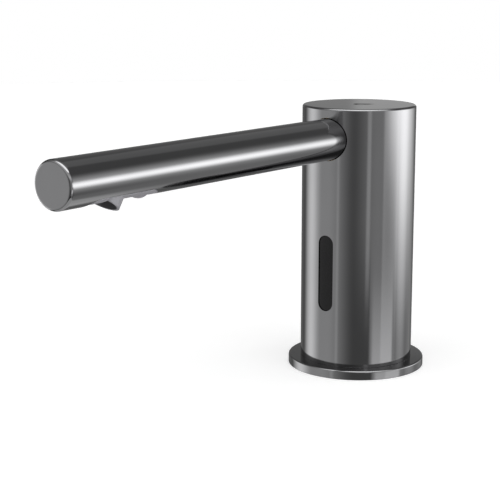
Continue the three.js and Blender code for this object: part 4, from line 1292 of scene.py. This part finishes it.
    def tent_material(self) -> bpy.types.Material:
        """Cloth that glows where a panel lights it, for the upright bands that the metal mirrors.

        Returns:
            The material.
        """
        graph = NodeGraph("tent_cloth", "Emission")
        maths = graph.maths
        axes = graph.add("SeparateXYZ", graph.place()).outputs
        azimuth = maths("MULTIPLY", maths("ARCTAN2", axes["Y"], axes["X"]), RADIAN)
        height = maths("SUBTRACT", axes["Z"], self.tent_middle * MM)
        slope = maths("DIVIDE", height, self.tent_radius * MM)
        elevation = maths("MULTIPLY", maths("ARCTANGENT", slope), RADIAN)
        total: object = self.ground_level
        for panel in self.panels:
            turn = maths("WRAP", maths("SUBTRACT", azimuth, panel.azimuth), 180, -180)
            rise = maths("SUBTRACT", elevation, panel.elevation)
            lit = maths("MULTIPLY", *(
                graph.ramp(maths("ABSOLUTE", away), full, full + fade, 1, 0)
                for away, full, fade in (
                    (turn, panel.half_width, panel.side_fade),
                    (rise, panel.half_height, panel.end_fade),
                )
            ))
            total = maths("ADD", maths("MULTIPLY", lit, panel.level), total)
        graph.fill(graph.shader, Strength=total)
        return graph.material

    def floor_material(self) -> bpy.types.Material:
        """White paper that keeps a faint shadow of the object and is clear from below.

        Returns:
            The material.
        """
        graph = NodeGraph("white_paper", "MixShader")
        path = graph.add("LightPath").outputs
        mirrored = graph.maths("MAXIMUM", path["Is Glossy Ray"], path["Is Transmission Ray"])
        seen = graph.maths("MAXIMUM", path["Is Camera Ray"], mirrored)
        away = graph.maths("LENGTH", graph.place(), kind="VectorMath")
        start, full = self.far_glow_from * MM, self.far_glow_full * MM
        level = graph.ramp(away, start, full, self.floor_glow, self.far_glow)
        glow = graph.add("Emission", Strength=graph.maths("MULTIPLY", seen, level))
        paper = graph.add("BsdfDiffuse", Color=[self.floor_tone] * 3)
        above = graph.add("AddShader", paper.outputs[0], glow.outputs[0])
        below = graph.add("BsdfTransparent")
        side = graph.add("NewGeometry").outputs["Backfacing"]
        graph.fill(graph.shader, side, above.outputs[0], below.outputs[0])
        return graph.material

    def key_lamp(self) -> None:
        """The softbox that lights the object from its right, and that no mirror shows."""
        lamp = bpy.data.lights.new("key_softbox", "AREA")
        lamp.shape = "RECTANGLE"
        lamp.size, lamp.size_y = (side * MM for side in self.lamp_sides)
        lamp.energy = self.lamp_energy
        across = math.cos(self.lamp_elevation)
        away = Vector((
            math.cos(self.lamp_azimuth) * across, math.sin(self.lamp_azimuth) * across,
            math.sin(self.lamp_elevation),
        ))
        holder = add_object("key_softbox", lamp)
        aim(holder, Vector(self.lamp_target) + away * self.lamp_distance, away, "Z")
        holder.visible_camera = False
        holder.visible_glossy = False


@dataclass(frozen=True)
class Viewpoint:
    """The camera that stands where the photograph was taken."""

    position: Point = (292.780, -447.093, 155.139)
    forward: Point = (-0.600603, 0.773964, -0.200641)
    focal_length: float = 97.925
    sensor: float = 36
    nearest: float = 10
    furthest: float = 50_000

    def build(self) -> None:
        """Makes the camera and looks through it."""
        camera = bpy.data.cameras.new("viewpoint")
        camera.lens = self.focal_length
        camera.sensor_width = self.sensor
        camera.clip_start = self.nearest * MM
        camera.clip_end = self.furthest * MM
        holder = add_object("viewpoint", camera)
        aim(holder, Vector(self.position), Vector(self.forward), "-Z")
        bpy.context.scene.camera = holder


def main() -> None:
    """Builds the camera, the studio and each sub-assembly, in that order."""
    logging.basicConfig(level=logging.INFO, format="%(message)s")
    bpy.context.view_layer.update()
    bpy.context.scene.view_settings.view_transform = "Standard"
    for maker in (Viewpoint(), Studio(), Base(), Column(), Sensor(), Spout(), Nozzle()):
        maker.build()
        log.info("%s done", type(maker).__name__)


if __name__ == "__main__":
    main()
